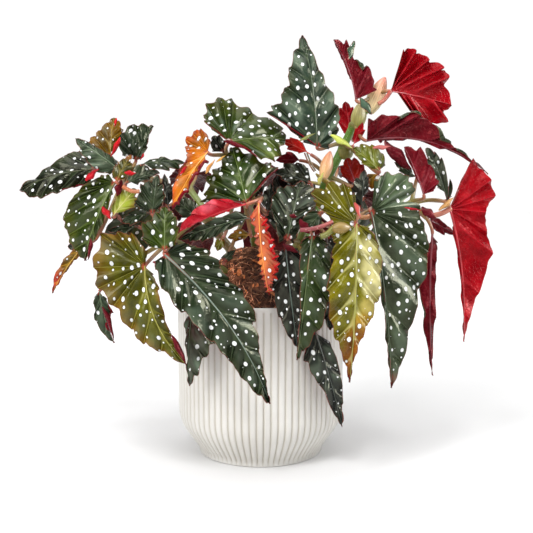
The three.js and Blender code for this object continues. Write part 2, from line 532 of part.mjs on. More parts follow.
// One cane as a bar through its joints, swollen at each of them. A clearance makes it fatter and longer.
function caneSolid(cane, clearance) {
  const foot = vec(cane.joints[0]);
  const root = foot.clone().multiplyScalar(1 - CANE.lean);
  root.z = CANE.sink - clearance;
  const points = [root, ...cane.joints.map(vec)];
  const [before, end] = points.slice(-2);
  points.push(end.clone().addScaledVector(end.clone().sub(before).normalize(), CANE.tip));
  const along = [];
  points.forEach((point, index) => {
    if (index > 0 && index < points.length - 1) along.push(points[index - 1].clone().lerp(point, 0.5));
    along.push(point);
  });
  const curve = new THREE.CatmullRomCurve3(along, false, 'centripetal');
  const steps = along.length - 1;
  const [thick, thin] = cane.radius;
  const radiusAt = (share) => {
    const atJoint = Math.round(share * steps) % 2 === 0 && share < 1;
    return (thick + (thin - thick) * share) * (atJoint ? CANE.swelling : 1) + clearance;
  };
  return solidFrom(bar(curve, radiusAt, CANE.sides, steps));
}

// A leaf's own axes: forward from stalk to tip, up out of its top face, and left across it.
function leafAxes(leaf) {
  const at = vec(leaf.at);
  const forward = vec(leaf.tip).sub(at);
  const length = forward.length();
  forward.normalize();
  const up = vec(leaf.face);
  up.addScaledVector(forward, -up.dot(forward)).normalize();
  const left = new THREE.Vector3().crossVectors(up, forward);
  return { at, forward, up, left, length };
}

// The stalk leaves the cane at the nearest joint, or at the one that the leaf names, and comes to the
// blade from below. It comes from behind where the underside of the leaf faces the front.
function stalkSolid(leaf) {
  const axes = leafAxes(leaf);
  const joints = CANES[leaf.shoot].joints.slice(1).map(vec);
  const start = leaf.joint === undefined
    ? joints.sort((a, b) => a.distanceTo(axes.at) - b.distanceTo(axes.at))[0]
    : joints[leaf.joint - 1];
  const reach = start.distanceTo(axes.at);
  const hidden = leaf.face[1] > 0 && !leaf.shoot.startsWith('back');
  const [under, behind] = hidden ? [STALK.near, STALK.far] : [STALK.far, STALK.near];
  const tilt = leaf.via ? 1 : behind / Math.hypot(under, behind);
  const drop = leaf.small ? -STALK.joined : BLADE + GAP + STALK.play + STALK.blade * tilt;
  const end = axes.at.clone().addScaledVector(axes.up, -drop);
  const last = end.clone().addScaledVector(axes.up, -under * reach);
  last.addScaledVector(axes.forward, -behind * reach);
  const rise = start.clone().lerp(axes.at, STALK.start);
  rise.z += STALK.rise * reach;
  const root = start.clone().addScaledVector(rise.clone().sub(start).normalize(), STALK.root);
  const curve = new THREE.CubicBezierCurve3(root, rise, leaf.via ? vec(leaf.via) : last, end);
  const radiusAt = (share) => STALK.cane + (STALK.blade - STALK.cane) * share;
  return solidFrom(bar(curve, radiusAt, STALK.sides, STALK.steps));
}

// A cane with the stalks of its leaves and the blades of the small ones.
function makeShoot(name) {
  const parts = [caneSolid(CANES[name], 0)];
  for (const leaf of ALL_LEAVES.filter(({ shoot }) => shoot === name)) {
    parts.push(stalkSolid(leaf));
    if (leaf.small) parts.push(solidFrom(bladeGeometry(leaf)));
  }
  return wasm.Manifold.union(parts);
}

// ---------------------------------------------------------------- leaf blades

// The edge of one half of a blade from its tip to the stalk, as angle and distance round the stalk:
// even points are tooth tips and odd points the notches between them.
function edgePoints(teeth) {
  const tips = [[100, 0], ...teeth].map(([along, out, depth]) => {
    const angle = Math.atan2(out, along);
    const turned = angle < 0 ? angle + 2 * Math.PI : angle;
    return { angle: turned, reach: Math.hypot(along, out) / 100, depth };
  });
  const edge = [];
  tips.forEach((tip, index) => {
    edge.push(tip);
    const next = tips[index + 1];
    if (!next) return;
    const angle = (tip.angle + next.angle) / 2;
    const depth = tip.depth ?? CUT * Math.min(1, (next.angle - tip.angle) / WIDE);
    const chord = (tip.reach * next.reach * Math.sin(next.angle - tip.angle))
      / (tip.reach * Math.sin(angle - tip.angle) + next.reach * Math.sin(next.angle - angle));
    edge.push({ angle, reach: chord * (1 - depth) });
  });
  return edge;
}

// How high the waves of the edge are at one of its points: low where its neighbours are close.
function waviness(edge, index) {
  const before = index > 0 ? edge[index].angle - edge[index - 1].angle : Infinity;
  const after = index < edge.length - 1 ? edge[index + 1].angle - edge[index].angle : Infinity;
  return Math.min(1, (edge[index].reach * Math.min(before, after)) / CLOSE);
}

// Where a point of the flat blade lies in space. side is 1 on the left half and -1 on the right, index
// is its place along the edge of that half, and out runs from 0 at the stalk to 1 at the edge.
function bladePoint(leaf, axes, side, edge, index, out) {
  const { angle, reach } = edge[index];
  const along = out * reach * Math.cos(angle);
  const across = out * reach * Math.sin(angle);
  const share = index / (edge.length - 1);
  const phase = draw(leaf.at[0] + 3 * leaf.at[2]);
  const bow = along > 0 ? 4 * ARCH * along * (1 - along) : DROOP * ARCH * along;
  const pleat = PLEAT * out * (index % 2 === 0 ? -1 : 1);
  const ripple = WAVE.height * out * out * Math.sin(2 * Math.PI * (WAVE.turns * side * share + phase));
  const waves = (pleat + ripple) * waviness(edge, index);
  const bend = (leaf.bend ?? 0) * 4 * Math.max(along, 0) * (1 - along);
  const slope = radians(FOLD);
  const rise = bow + waves - Math.abs(across) * Math.sin(slope);
  const point = axes.at.clone().addScaledVector(axes.forward, along * axes.length);
  point.addScaledVector(axes.left, (side * across * Math.cos(slope) + bend) * axes.length);
  return point.addScaledVector(axes.up, rise * axes.length);
}

// A closed blade: the top and the underside are split into triangles alike, so they never cross.
function bladeGeometry(leaf) {
  const axes = leafAxes(leaf);
  const halves = [{ side: 1, edge: edgePoints(leaf.left) }, { side: -1, edge: edgePoints(leaf.right) }];
  const rings = BLADE_RINGS.find(({ longer }) => axes.length > longer).outs;
  const top = [axes.at.clone()];
  const spokes = halves.map(() => []);
  halves.forEach(({ side, edge }, half) => {
    edge.forEach((point, index) => {
      if (index === 0 && half === 1) {
        spokes[1].push(spokes[0][0]);
        return;
      }
      spokes[half].push(rings.map((out) => top.push(bladePoint(leaf, axes, side, edge, index, out)) - 1));
    });
  });
  const faces = [];
  spokes.forEach((rows, half) => {
    for (let index = 0; index < rows.length - 1; index += 1) {
      const near = half === 0 ? rows[index] : rows[index + 1];
      const far = half === 0 ? rows[index + 1] : rows[index];
      faces.push(0, near[0], far[0]);
      for (let ring = 0; ring < rings.length - 1; ring += 1) {
        faces.push(near[ring], near[ring + 1], far[ring + 1], near[ring], far[ring + 1], far[ring]);
      }
    }
  });
  const loop = [0, ...spokes[1].at(-1)];
  for (let index = spokes[1].length - 2; index > 0; index -= 1) loop.push(spokes[1][index].at(-1));
  for (const row of spokes[0]) loop.push(row.at(-1));
  for (const inner of spokes[0].at(-1).slice(0, -1).reverse()) loop.push(inner);
  return thicken(top, faces, loop, axes.up.clone().multiplyScalar(-BLADE));
}

// Gives a sheet its thickness: each point of the underside lies one step away from its point on top.
function thicken(top, faces, loop, step) {
  const count = top.length;
  const positions = top.flatMap((point) => point.toArray());
  positions.push(...top.flatMap((point) => point.clone().add(step).toArray()));
  const all = [...faces];
  for (let i = 0; i < faces.length; i += 3) {
    all.push(faces[i] + count, faces[i + 2] + count, faces[i + 1] + count);
  }
  loop.forEach((a, index) => {
    const b = loop[(index + 1) % loop.length];
    all.push(a, a + count, b + count, a, b + count, b);
  });
  return geometryFrom(positions, all);
}

// ---------------------------------------------------------------- the plant in its pot

const plant = new THREE.Group();

function addPiece(name, geometry, kind, colour) {
  const material = new THREE.MeshStandardMaterial({ color: COLOURS[colour], roughness: ROUGHNESS[kind] });
  const mesh = new THREE.Mesh(geometry, material);
  mesh.name = name;
  plant.add(mesh);
}

addPiece('pot', geometryOf(makePot()), 'pot', 'pot');
addPiece('soil', geometryOf(makeSoil()), 'soil', 'soil');
for (const name of Object.keys(CANES)) {
  addPiece(`cane_${name}`, geometryOf(makeShoot(name)), 'stem', 'stem');
}
for (const leaf of ALL_LEAVES) {
  if (!leaf.small) addPiece(`leaf_${leaf.name}`, bladeGeometry(leaf), 'leaf', leaf.colour);
}

export default plant;
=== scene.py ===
"""A polka dot begonia in a ribbed pot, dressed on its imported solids: fine leaf blades with their spots, veins
and rolled edges, jointed canes, leaf stalks, sheaths, a fibrous root mound and a ribbed pot.

Sizes are millimetres until a mesh is made. The origin is the middle of the pot's foot and -Y is the front."""

import math

import bpy
import numpy as np
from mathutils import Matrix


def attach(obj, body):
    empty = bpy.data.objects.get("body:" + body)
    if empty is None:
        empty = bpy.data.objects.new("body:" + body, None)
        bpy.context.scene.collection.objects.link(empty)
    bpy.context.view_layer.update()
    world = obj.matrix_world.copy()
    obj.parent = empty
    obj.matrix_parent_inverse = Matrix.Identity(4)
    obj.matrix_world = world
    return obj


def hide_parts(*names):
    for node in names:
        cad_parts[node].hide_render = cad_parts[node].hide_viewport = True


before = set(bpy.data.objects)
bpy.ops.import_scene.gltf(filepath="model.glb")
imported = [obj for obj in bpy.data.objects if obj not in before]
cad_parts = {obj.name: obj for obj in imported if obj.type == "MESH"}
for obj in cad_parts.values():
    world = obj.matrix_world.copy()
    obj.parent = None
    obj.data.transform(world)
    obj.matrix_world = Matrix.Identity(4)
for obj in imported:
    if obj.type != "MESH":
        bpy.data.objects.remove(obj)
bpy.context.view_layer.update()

# ---------------------------------------------------------------- driving dimensions

POT = dict(height=170, radius=90.5, wall=5, floor=6, ribs=76, groove=1.6, rib_top=166, lip=1.6, foot=2.5)
POT_SIDE = ((0, 68), (5, 69), (12, 73.5), (22, 80.5), (32, 86.5), (50, 90.5))  # height, outside radius
# The level of the flat soil, and the root mound's crown, where that is, its radius and how it falls off.
SOIL = dict(level=152, crown=222, x=-8, y=-6, edge=77, buried=12, spread=0.8, slope=0.8)
GAP = 0.3  # between the soil and the pot
THIN = 0.6  # thickness of a blade
# Stalks: radius at the blade and at the cane, and how far from a joint's middle they start. In shares of
# their reach: how far they come from under and from behind the blade, and the bend and rise at their start.
STALK = dict(blade=1.7, cane=2.3, root=2.5, near=0.06, far=0.34, start=0.25, rise=0.12)
# Canes: how much thicker they are at a joint, the height at which they start in the soil, how far they go
# on past the last joint, and how much nearer to the middle they start.
CANE = dict(swelling=1.35, sink=150, tip=7, lean=0.1)

# The form of a blade. Heights are shares of its length.
ARCH = 0.09  # how high the midrib rises between stalk and tip
DROOP = 1.5  # how steeply the lobes behind the stalk sink, in arches
FOLD = 10  # degrees that each half falls away from the midrib
FINE_PLEAT, PUFF = 0.034, 0.11  # pleats between side veins, and their most as a share of their width
WAVE, WAVE_TURNS = 0.022, 1.6  # long waves of the edge, and how many of them half a blade has
RUFFLE, RUFFLE_TURNS = 0.012, 0.83  # short waves of the edge, and how many of them a tooth has
SWELL = 0.013  # uneven swellings of the surface
CUT, WIDE = 0.08, 0.25  # depth of the cut between two teeth, full where they are this angle apart
CLOSE = 0.06  # waves are full where two teeth are twice this far apart
FRILL = 0.012  # how far the edge waves in and out between two teeth

ROOM, BACKDROP, CEILING = 0.13, 1.02, 2.8  # brightness all round, behind the plant and overhead
CAMERA = dict(at=(6.5, -900, 300), down=6.2, lens=55.9, sensor=36)


def wing(width, lobe):
    """The tooth tips of one half of an angel-wing blade, from its tip round to the stalk."""
    shape = ((84, 0.2), (60, 0.58), (34, 0.9), (6, 1))
    return (*((a, b * width) for a, b in shape), (-0.6 * lobe, 0.85 * width), (-lobe, 0.45 * width))


def plan(shoot, colour, at, tip, face, left, right, **more):
    """A leaf's cane and colour, the top of its stalk, the tip of its blade and the way its top looks.

    left and right are the tooth tips of each half from the tip to the stalk, along and out in percent of the
    length, and a third number is the depth of the cut after that tooth. More can be said: the midrib's bend
    to the left as a share of the length, the joint that the stalk leaves and the point via which it goes."""
    return dict(shoot=shoot, colour=colour, at=at, tip=tip, face=face, left=left, right=right, **more)


def small(*places, **halves):
    """A small leaf, which has no solid of its own."""
    return plan(*places, small=True, **halves)


# The places below were chosen piece by piece, to follow the photo.

# Canes: radius at the soil and at the end, and the middle of each joint from the soil upwards.
CANES = {
    "left": dict(radius=(5.5, 4), joints=((-22, 4, 205), (-60, 0, 256), (-104, -22, 292), (-134, -44, 303))),
    "left_low": dict(radius=(5, 3.6), joints=((-34, -30, 195), (-62, -58, 222), (-86, -82, 236))),
    "mid": dict(radius=(5, 3.4), joints=((-4, 16, 212), (-12, -4, 262), (-22, -28, 292), (-34, -44, 318))),
    "right_low": dict(radius=(4.6, 3.6), joints=((26, -26, 200), (40, -52, 232), (48, -62, 256))),
    "right_tall": dict(radius=(5.5, 3.6), joints=((40, 14, 210), (56, 2, 258), (72, -12, 298),
        (88, -16, 332), (98, -16, 353), (121, -16, 382))),
    "right": dict(radius=(5, 3.4), joints=((56, -8, 200), (92, -34, 238), (126, -40, 262), (158, -34, 272))),
    "back_left": dict(radius=(4.6, 3.4), joints=((-28, 40, 200), (-58, 66, 252), (-84, 86, 284))),
    "back_right": dict(radius=(4.6, 3.4), joints=((30, 42, 200), (56, 70, 250), (84, 88, 284))),
}

LEAVES = {
    "far_left": plan("left", "dark", (-171, -38, 308), (-254, -25, 286), (-0.25, -1, 0.55),
        left=((89, 12), (72, 21), (48, 24), (25, 18), (9, 18)), right=((78, 8), (56, 19), (33, 28),
        (17, 32), (1, 19))),
    "left_slim": plan("left", "grey", (-139, -84, 308), (-183, -72, 338), (-0.2, -1, 0.4),
        left=((77, 16), (54, 22), (29, 28), (6, 18)), right=((83, 6), (58, 9), (34, 11), (10, 11))),
    "left_ochre": plan("left", "ochre", (-151, -58, 320), (-149, -46, 360), (0, -1, 0.3),
        left=((86, 13), (66, 35), (50, 46), (33, 66), (16, 38)), right=((94, 13), (70, 27), (47, 19),
        (18, 8))),
    "left_crown": plan("left", "dark", (-129, -34, 317), (-112, -20, 353), (0.1, -1, 0.3),
        left=((95, 17), (87, 48), (49, 68), (23, 63), (-1, 38)), right=((66, 3), (42, 12), (8, 10))),
    "left_olive": plan("left", "ochre", (-136, -108, 296), (-123, -100, 321), (0, -1, 0.3),
        left=((78, 18), (52, 23), (22, 30), (4, 20)), right=((75, 17), (59, 36), (19, 20))),
    "left_broad": plan("left", "mid", (-141, -92, 294), (-174, -84, 217), (-0.2, -1, 0.35),
        left=((84, 5), (68, 7), (49, 9), (31, 7), (12, 5)), right=((94, 19), (81, 32), (67, 47), (50, 49),
        (27, 41), (7, 28), (-5, 14))),
    "left_twist": plan("left", "ochre", (-172, -66, 238), (-213, -60, 181), (-0.2, -1, 0.2),
        left=((82, 2), (58, 2), (35, 4), (14, 6)), right=((87, 7), (59, 12), (37, 11), (9, 8))),
    "left_lime": plan("left", "lime", (-142, -98, 262), (-120, -94, 288), (0, -1, 0.3),
        left=((90, 21), (69, 32), (40, 27), (12, 21)), right=((84, 21), (61, 33), (31, 18))),
    "left_flat": plan("left", "dark", (-120, -60, 312), (-75, -56, 314), (0, -1, 0.9),
        left=((69, 8), (40, 12), (15, 11)), right=((86, 15), (63, 27), (29, 19))),
    "left_star": plan("left_low", "dark", (-103, -104, 265), (-98, -98, 302), (0, -1, 0.3),
        left=((81, 21), (72, 43), (50, 38), (27, 53), (6, 37)), right=((78, 16), (51, 27), (24, 23))),
    "low_upper": plan("left_low", "mid", (-89, -126, 232), (-89, -116, 272), (0, -1, 0.3),
        left=((89, 23), (67, 36), (64, 54), (28, 55), (8, 39)), right=((91, 14), (78, 25), (51, 33),
        (12, 25))),
    "low_olive": plan("left_low", "olive", (-110, -112, 215), (-70, -120, 120), (-0.15, -1, 0.35),
        bend=-0.09, left=((79, 4), (68, 7), (50, 9), (25, 12), (10, 8)), right=((79, 11), (67, 22),
        (49, 26), (23, 36), (2, 51), (-18, 49), (-45, 31), (-40, 14), (-34, 1), (-12, -8))),
    "low_large": plan("left_low", "dark", (-89, -126, 227), (10, -118, 81), (0, -1, 0.35),
        bend=0.06, left=((93, 1), (81, 4), (71, 7), (57, 14), (40, 18), (31, 15), (22, 17), (12, 19),
        (3, 14), (-2, 9)), right=((91, 5), (78, 9), (67, 10), (51, 13), (30, 16), (14, 15), (0, 7))),
    "low_wavy": plan("left_low", "dark", (-66, -92, 171), (-71, -88, 91), (-0.3, -1, 0.1),
        left=((84, 12), (59, 22), (41, 32), (17, 18)), right=((85, 1), (64, 2), (34, 6), (13, 8))),
    "low_small": plan("left_low", "grey", (-161, -78, 186), (-148, -74, 132), (-0.2, -1, 0.1),
        left=((76, 1), (55, 2), (42, 15), (16, 11)), right=((80, 13), (50, 24), (32, 16), (9, 14))),
    "mid_orange": plan("mid", "orange", (-51, -84, 324), (-83, -112, 269), (-0.2, -1, 0.3),
        left=((89, 3), (68, 6), (39, 7), (16, 7)), right=((89, 7), (59, 20), (30, 16), (12, 29), (-8, 44),
        (-25, 42), (-37, 35), (-20, 7))),
    "mid_crown": plan("mid", "mid", (-30, -78, 334), (26, -52, 337), (0, -1, 0.5),
        left=((106, 27), (57, 57), (32, 86), (16, 94), (-13, 88), (-25, 62), (-28, 49), (-20, 30)),
        right=((88, 24), (70, 41), (46, 36), (23, 16))),
    "mid_fan": plan("mid", "mid", (-13, -96, 275), (-28, -58, 329), (0, -1, 0.4),
        left=((94, 10), (71, 29), (60, 48), (36, 52), (24, 66), (8, 26)), right=((86, 21), (63, 43),
        (50, 60), (34, 42), (9, 15))),
    "mid_red": plan("mid", "red", (-13, -104, 274), (-78, -112, 247), (0, 1, 0.5),
        joint=1, left=((74, 18), (51, 25), (32, 21), (13, 10)), right=((83, 1), (67, 2), (48, 3),
        (25, 3))),
    "mid_under": plan("mid", "dark", (-9, -90, 260), (-79, -98, 239), (0, -1, 0.4),
        left=((87, 8), (72, 14), (54, 14), (33, 9), (15, 7)), right=((80, 6), (61, 10), (36, 12),
        (11, 13))),
    "mid_spiny": plan("mid", "scarlet", (-1, -112, 275), (9, -108, 186), (-0.3, -1, 0.2),
        joint=1, left=((84, 7), (71, 14), (52, 13), (35, 10), (15, 5)), right=((87, 3), (71, 4), (50, 4),
        (30, 6), (11, 9))),
    "front_star": plan("right_low", "dark", (27, -98, 241), (41, -66, 295), (0, -1, 0.4),
        left=((90, 12), (87, 30), (67, 38), (44, 37), (16, 22), (-10, 12)), right=((98, 13), (94, 29),
        (66, 32), (40, 21), (17, 15), (-6, 11))),
    "front_dark": plan("right_low", "black", (25, -97, 232), (37, -99, 132), (-0.1, -1, 0.25),
        left=((86, 8), (69, 11), (44, 16), (17, 21), (3, 12)), right=((89, 6), (67, 15), (40, 18),
        (19, 14), (4, 6))),
    "front_wavy": plan("right_low", "green", (50, -112, 244), (36, -110, 122), (0, -1, 0.25),
        left=((91, 5), (73, 15), (50, 20), (27, 20), (5, 13), (-1, 5)), right=((91, 1), (61, 2), (30, 6),
        (9, 9), (1, 5))),
    "front_low": plan("right_low", "black", (55, -84, 147), (84, -76, 45), (0.1, -1, 0.1),
        via=(54, -104, 226), left=((78, 5), (66, 9), (44, 12), (15, 11)), right=((86, 4), (51, 11),
        (24, 19), (7, 10))),
    "small_front": plan("right_low", "dark", (59, -112, 266), (43, -114, 249), (0, -1, 0.3),
        left=((87, 32), (38, 36)), right=((85, 37), (50, 47), (8, 32))),
    "yellow": plan("right", "lime", (91, -124, 256), (86, -126, 104), (0.05, -1, 0.3),
        left=((87, 1), (73, 4), (61, 9), (47, 15), (28, 17), (13, 15), (2, 8)), right=((87, 4), (72, 11),
        (60, 15), (41, 18), (21, 15), (11, 14), (-4, 17), (-10, 25), (-18, 29), (-25, 19), (-25, 9),
        (-19, 1))),
    "right_large": plan("right", "dark", (108, -98, 266), (130, -100, 92), (0.1, -1, 0.3),
        left=((86, 8), (68, 13), (45, 23), (26, 30), (13, 30), (3, 29, 0.55), (-8, 29), (-17, 27),
        (-21, 14), (-17, 5)), right=((85, 1), (70, 2), (50, 2), (28, 3), (11, 3))),
    "top_tall": plan("right_tall", "dark", (57, -66, 330), (43, -40, 443), (0, -1, 0.25),
        bend=-0.02, left=((88, 9), (72, 17), (54, 22), (40, 34), (35, 42), (19, 24), (5, 12)),
        right=((86, 4), (65, 8), (49, 14), (32, 21), (12, 20), (-3, 10))),
    "top_rolled": plan("right_tall", "red", (99, -30, 379), (76, -22, 441), (0, 1, 0.2),
        bend=0.06, left=((92, 17), (60, 14), (41, 31), (0, 35)), right=((82, 3), (62, 3), (35, 3))),
    "top_fan": plan("right_tall", "red", (135, -30, 388), (199, -22, 375), (0, 1, 0.3),
        left=((100, 25), (81, 46), (58, 35), (38, 24)), right=((82, 43), (69, 56), (43, 62), (17, 72),
        (-5, 69))),
    "right_long": plan("right_tall", "crimson", (110, -36, 337), (235, -40, 303), (0, 1, 0.4),
        bend=-0.1, left=((84, 1), (58, 2), (28, 2), (11, 3)), right=((85, 1), (68, 4), (57, 9), (34, 23),
        (18, 21), (-5, 21))),
    "right_fold": plan("right", "crimson", (166, -56, 282), (146, -52, 330), (0, 1, 0.2),
        bend=0.03, left=((88, 28), (47, 32), (12, 36), (-2, 21)), right=((84, 5), (55, 4), (25, 3))),
    "right_zigzag": plan("right", "dark", (201, -8, 275), (179, -4, 331), (0, -1, 0.2),
        left=((88, 14), (61, 15), (27, 11)), right=((89, 9), (72, 14, 0.35), (34, 17, 0.35), (3, 11))),
    "right_red": plan("right", "red", (195, -48, 267), (212, -50, 129), (0, 1, 0.3),
        bend=-0.058, left=((82, 1), (58, 2), (32, 2), (14, 2)), right=((84, 4), (66, 11), (37, 24),
        (20, 22), (5, 24), (-6, 33), (-18, 31), (-35, 19), (-14, 7))),
    "right_hang": plan("right", "crimson", (179, -40, 241), (183, -36, 90), (0, 1, 0.2),
        left=((84, 2), (55, 5), (23, 10), (9, 4)), right=((88, 1), (60, 4), (33, 4), (20, 4), (6, 4))),
    "right_lime": plan("right_tall", "lime", (118, -74, 306), (93, -66, 328), (0, -1, 0.3),
        left=((86, 11), (52, 19), (19, 13)), right=((94, 24), (70, 48), (25, 49), (-2, 28))),
    "heart_red": plan("right_tall", "red", (100, 14, 342), (92, 12, 381), (0, 1, 0.2),
        left=((82, 19), (46, 20), (14, 11)), right=((87, 19), (53, 31), (18, 21))),
    "heart_low": plan("right_tall", "crimson", (100, -30, 292), (90, -26, 319), (0, 1, 0.2),
        left=((93, 28), (57, 52), (14, 43)), right=((81, 30), (46, 40))),
    "crown_dots": plan("right_low", "black", (52, -56, 293), (15, -50, 304), (0, -1, 0.5),
        left=((79, 15), (48, 23), (17, 16)), right=((87, 31), (57, 49), (22, 43))),
    "left_inner": plan("left", "black", (-104, -44, 270), (-153, -50, 225), (-0.1, -1, 0.2),
        left=((99, 17), (79, 36), (40, 39), (3, 30)), right=((99, 24), (67, 40), (28, 38), (-3, 26))),
    "front_inner": plan("right_low", "black", (67, -72, 241), (71, -72, 145), (0, -1, 0.1),
        left=((88, 9), (58, 18), (28, 19), (5, 14)), right=((87, 8), (57, 16), (27, 15), (6, 10))),
    "left_wedge": small("left", "dark", (-131, -88, 293), (-99, -76, 304), (0, -1, 0.4),
        left=((79, 26), (58, 42), (36, 44)), right=((66, 12), (30, 15))),
    "left_tail": small("left", "black", (-175, -40, 233), (-200, -44, 228), (-0.3, -1, 0.1),
        left=((83, 36), (41, 37)), right=((75, 20), (31, 31))),
    "star_side": small("left_low", "black", (-90, -84, 268), (-94, -80, 303), (0.2, -1, 0.2),
        left=((74, 15), (34, 21)), right=((70, 13), (37, 22))),
    "low_shade": small("left_low", "dark", (-120, -82, 251), (-150, -86, 247), (0, -1, 0.3),
        left=((77, 20), (32, 20)), right=((66, 11), (26, 20))),
    "mid_shade": small("mid", "black", (-37, -50, 325), (-49, -46, 341), (0, -1, 0.2),
        left=((82, 26), (36, 47)), right=((87, 33), (34, 37))),
    "mid_back": small("mid", "black", (7, -70, 263), (11, -66, 295), (0, -1, 0.2),
        left=((70, 18), (32, 23)), right=((71, 16), (32, 27))),
    "soil_lime": small("mid", "lime", (-37, -84, 240), (-42, -86, 227), (0, -1, 0.4),
        left=((62, 39), (12, 28)), right=((81, 30), (31, 41))),
    "soil_dark": small("mid", "dark", (-36, -84, 216), (-24, -80, 228), (0, -1, 0.4),
        left=((61, 25), (9, 31)), right=((55, 26), (15, 24))),
    "soil_ochre": small("mid", "ochre", (-9, -76, 242), (-32, -80, 240), (0, -1, 0.5),
        left=((76, 23), (32, 19)), right=((71, 28), (32, 33))),
    "right_tip": small("right", "dark", (163, -36, 299), (139, -36, 315), (-0.2, -1, 0.2),
        left=((70, 18), (26, 18)), right=((77, 16), (36, 14))),
    "right_stripe": small("right", "crimson", (175, -30, 256), (207, -26, 239), (0, 1, 0.3),
        left=((72, 19), (36, 21)), right=((63, 11), (25, 17))),
    "heart_olive": small("right_tall", "ochre", (119, -64, 304), (101, -60, 289), (0, -1, 0.3),
        left=((66, 37), (12, 48)), right=((83, 28), (38, 25))),
    "heart_black": small("right", "black", (101, -74, 268), (104, -68, 307), (0, -1, 0.2),
        left=((78, 19), (51, 32), (21, 27)), right=((83, 14), (45, 14))),
    "heart_bright": small("right_tall", "red", (96, -36, 332), (106, -34, 356), (0, 1, 0.2),
        left=((76, 22), (30, 21)), right=((68, 16), (27, 15))),
    "crown_red": small("right_tall", "crimson", (41, -30, 317), (16, -26, 317), (0, 1, 0.3),
        left=((54, 37), (21, 29)), right=((67, 21), (25, 16))),
    "crown_curl": small("right_tall", "scarlet", (52, -40, 323), (24, -44, 336), (0, 1, 0.4),
        left=((89, 24), (41, 24)), right=((79, 20), (36, 17))),
    "shade_left": small("left_low", "dark", (-62, -84, 260), (-85, -80, 278), (0, -1, 0.3),
        left=((81, 24), (38, 34)), right=((79, 29), (39, 43))),
    "shade_low": small("left_low", "dark", (-107, -88, 265), (-135, -92, 256), (0, -1, 0.4),
        left=((80, 23), (38, 22)), right=((71, 25), (31, 23))),
    "mid_inner": small("mid", "black", (2, -26, 280), (-24, -22, 311), (0, -1, 0.2),
        left=((81, 35), (28, 51)), right=((93, 34), (40, 58))),
    "centre_inner": small("right_low", "black", (37, -46, 243), (16, -40, 301), (0, -1, 0.2),
        left=((82, 20), (47, 40), (8, 33)), right=((95, 34), (65, 59), (16, 45))),
    "right_inner": small("right", "black", (94, -52, 237), (92, -46, 280), (0, -1, 0.2),
        left=((78, 34), (31, 41)), right=((89, 37), (36, 49))),
    "back_left_low": plan("back_left", "dark", (-70, 96, 238), (-118, 150, 150), (-0.4, 1, 0.45),
        left=wing(34, 24), right=wing(22, 16)),
    "back_left_out": plan("back_left", "green", (-112, 78, 268), (-196, 96, 206), (-0.6, 0.8, 0.7),
        left=wing(20, 14), right=wing(32, 24)),
    "back_left_top": plan("back_left", "mid", (-78, 104, 304), (-92, 178, 262), (-0.1, 0.8, 0.9),
        left=wing(38, 26), right=wing(24, 18)),
    "back_mid": plan("back_right", "dark", (4, 104, 262), (-8, 150, 150), (0, 1, 0.35),
        left=wing(24, 16), right=wing(36, 26)),
    "back_mid_top": plan("back_right", "green", (24, 96, 308), (20, 178, 262), (0.1, 0.8, 0.9),
        left=wing(34, 24), right=wing(22, 16)),
    "back_right_low": plan("back_right", "dark", (88, 102, 240), (112, 148, 142), (0.3, 1, 0.4),
        left=wing(22, 16), right=wing(34, 24)),
    "back_right_out": plan("back_right", "green", (122, 78, 276), (196, 102, 202), (0.6, 0.8, 0.7),
        joint=1, left=wing(34, 24), right=wing(22, 14)),
    "back_right_top": plan("back_right", "mid", (92, 98, 312), (122, 172, 284), (0.2, 0.8, 0.9),
        left=wing(22, 16), right=wing(32, 22)),
}

GREEN, WINE, CRIMSON, BLOOD = "#2f4636", "#4c0d16", "#8f0f1a", "#a8141c"
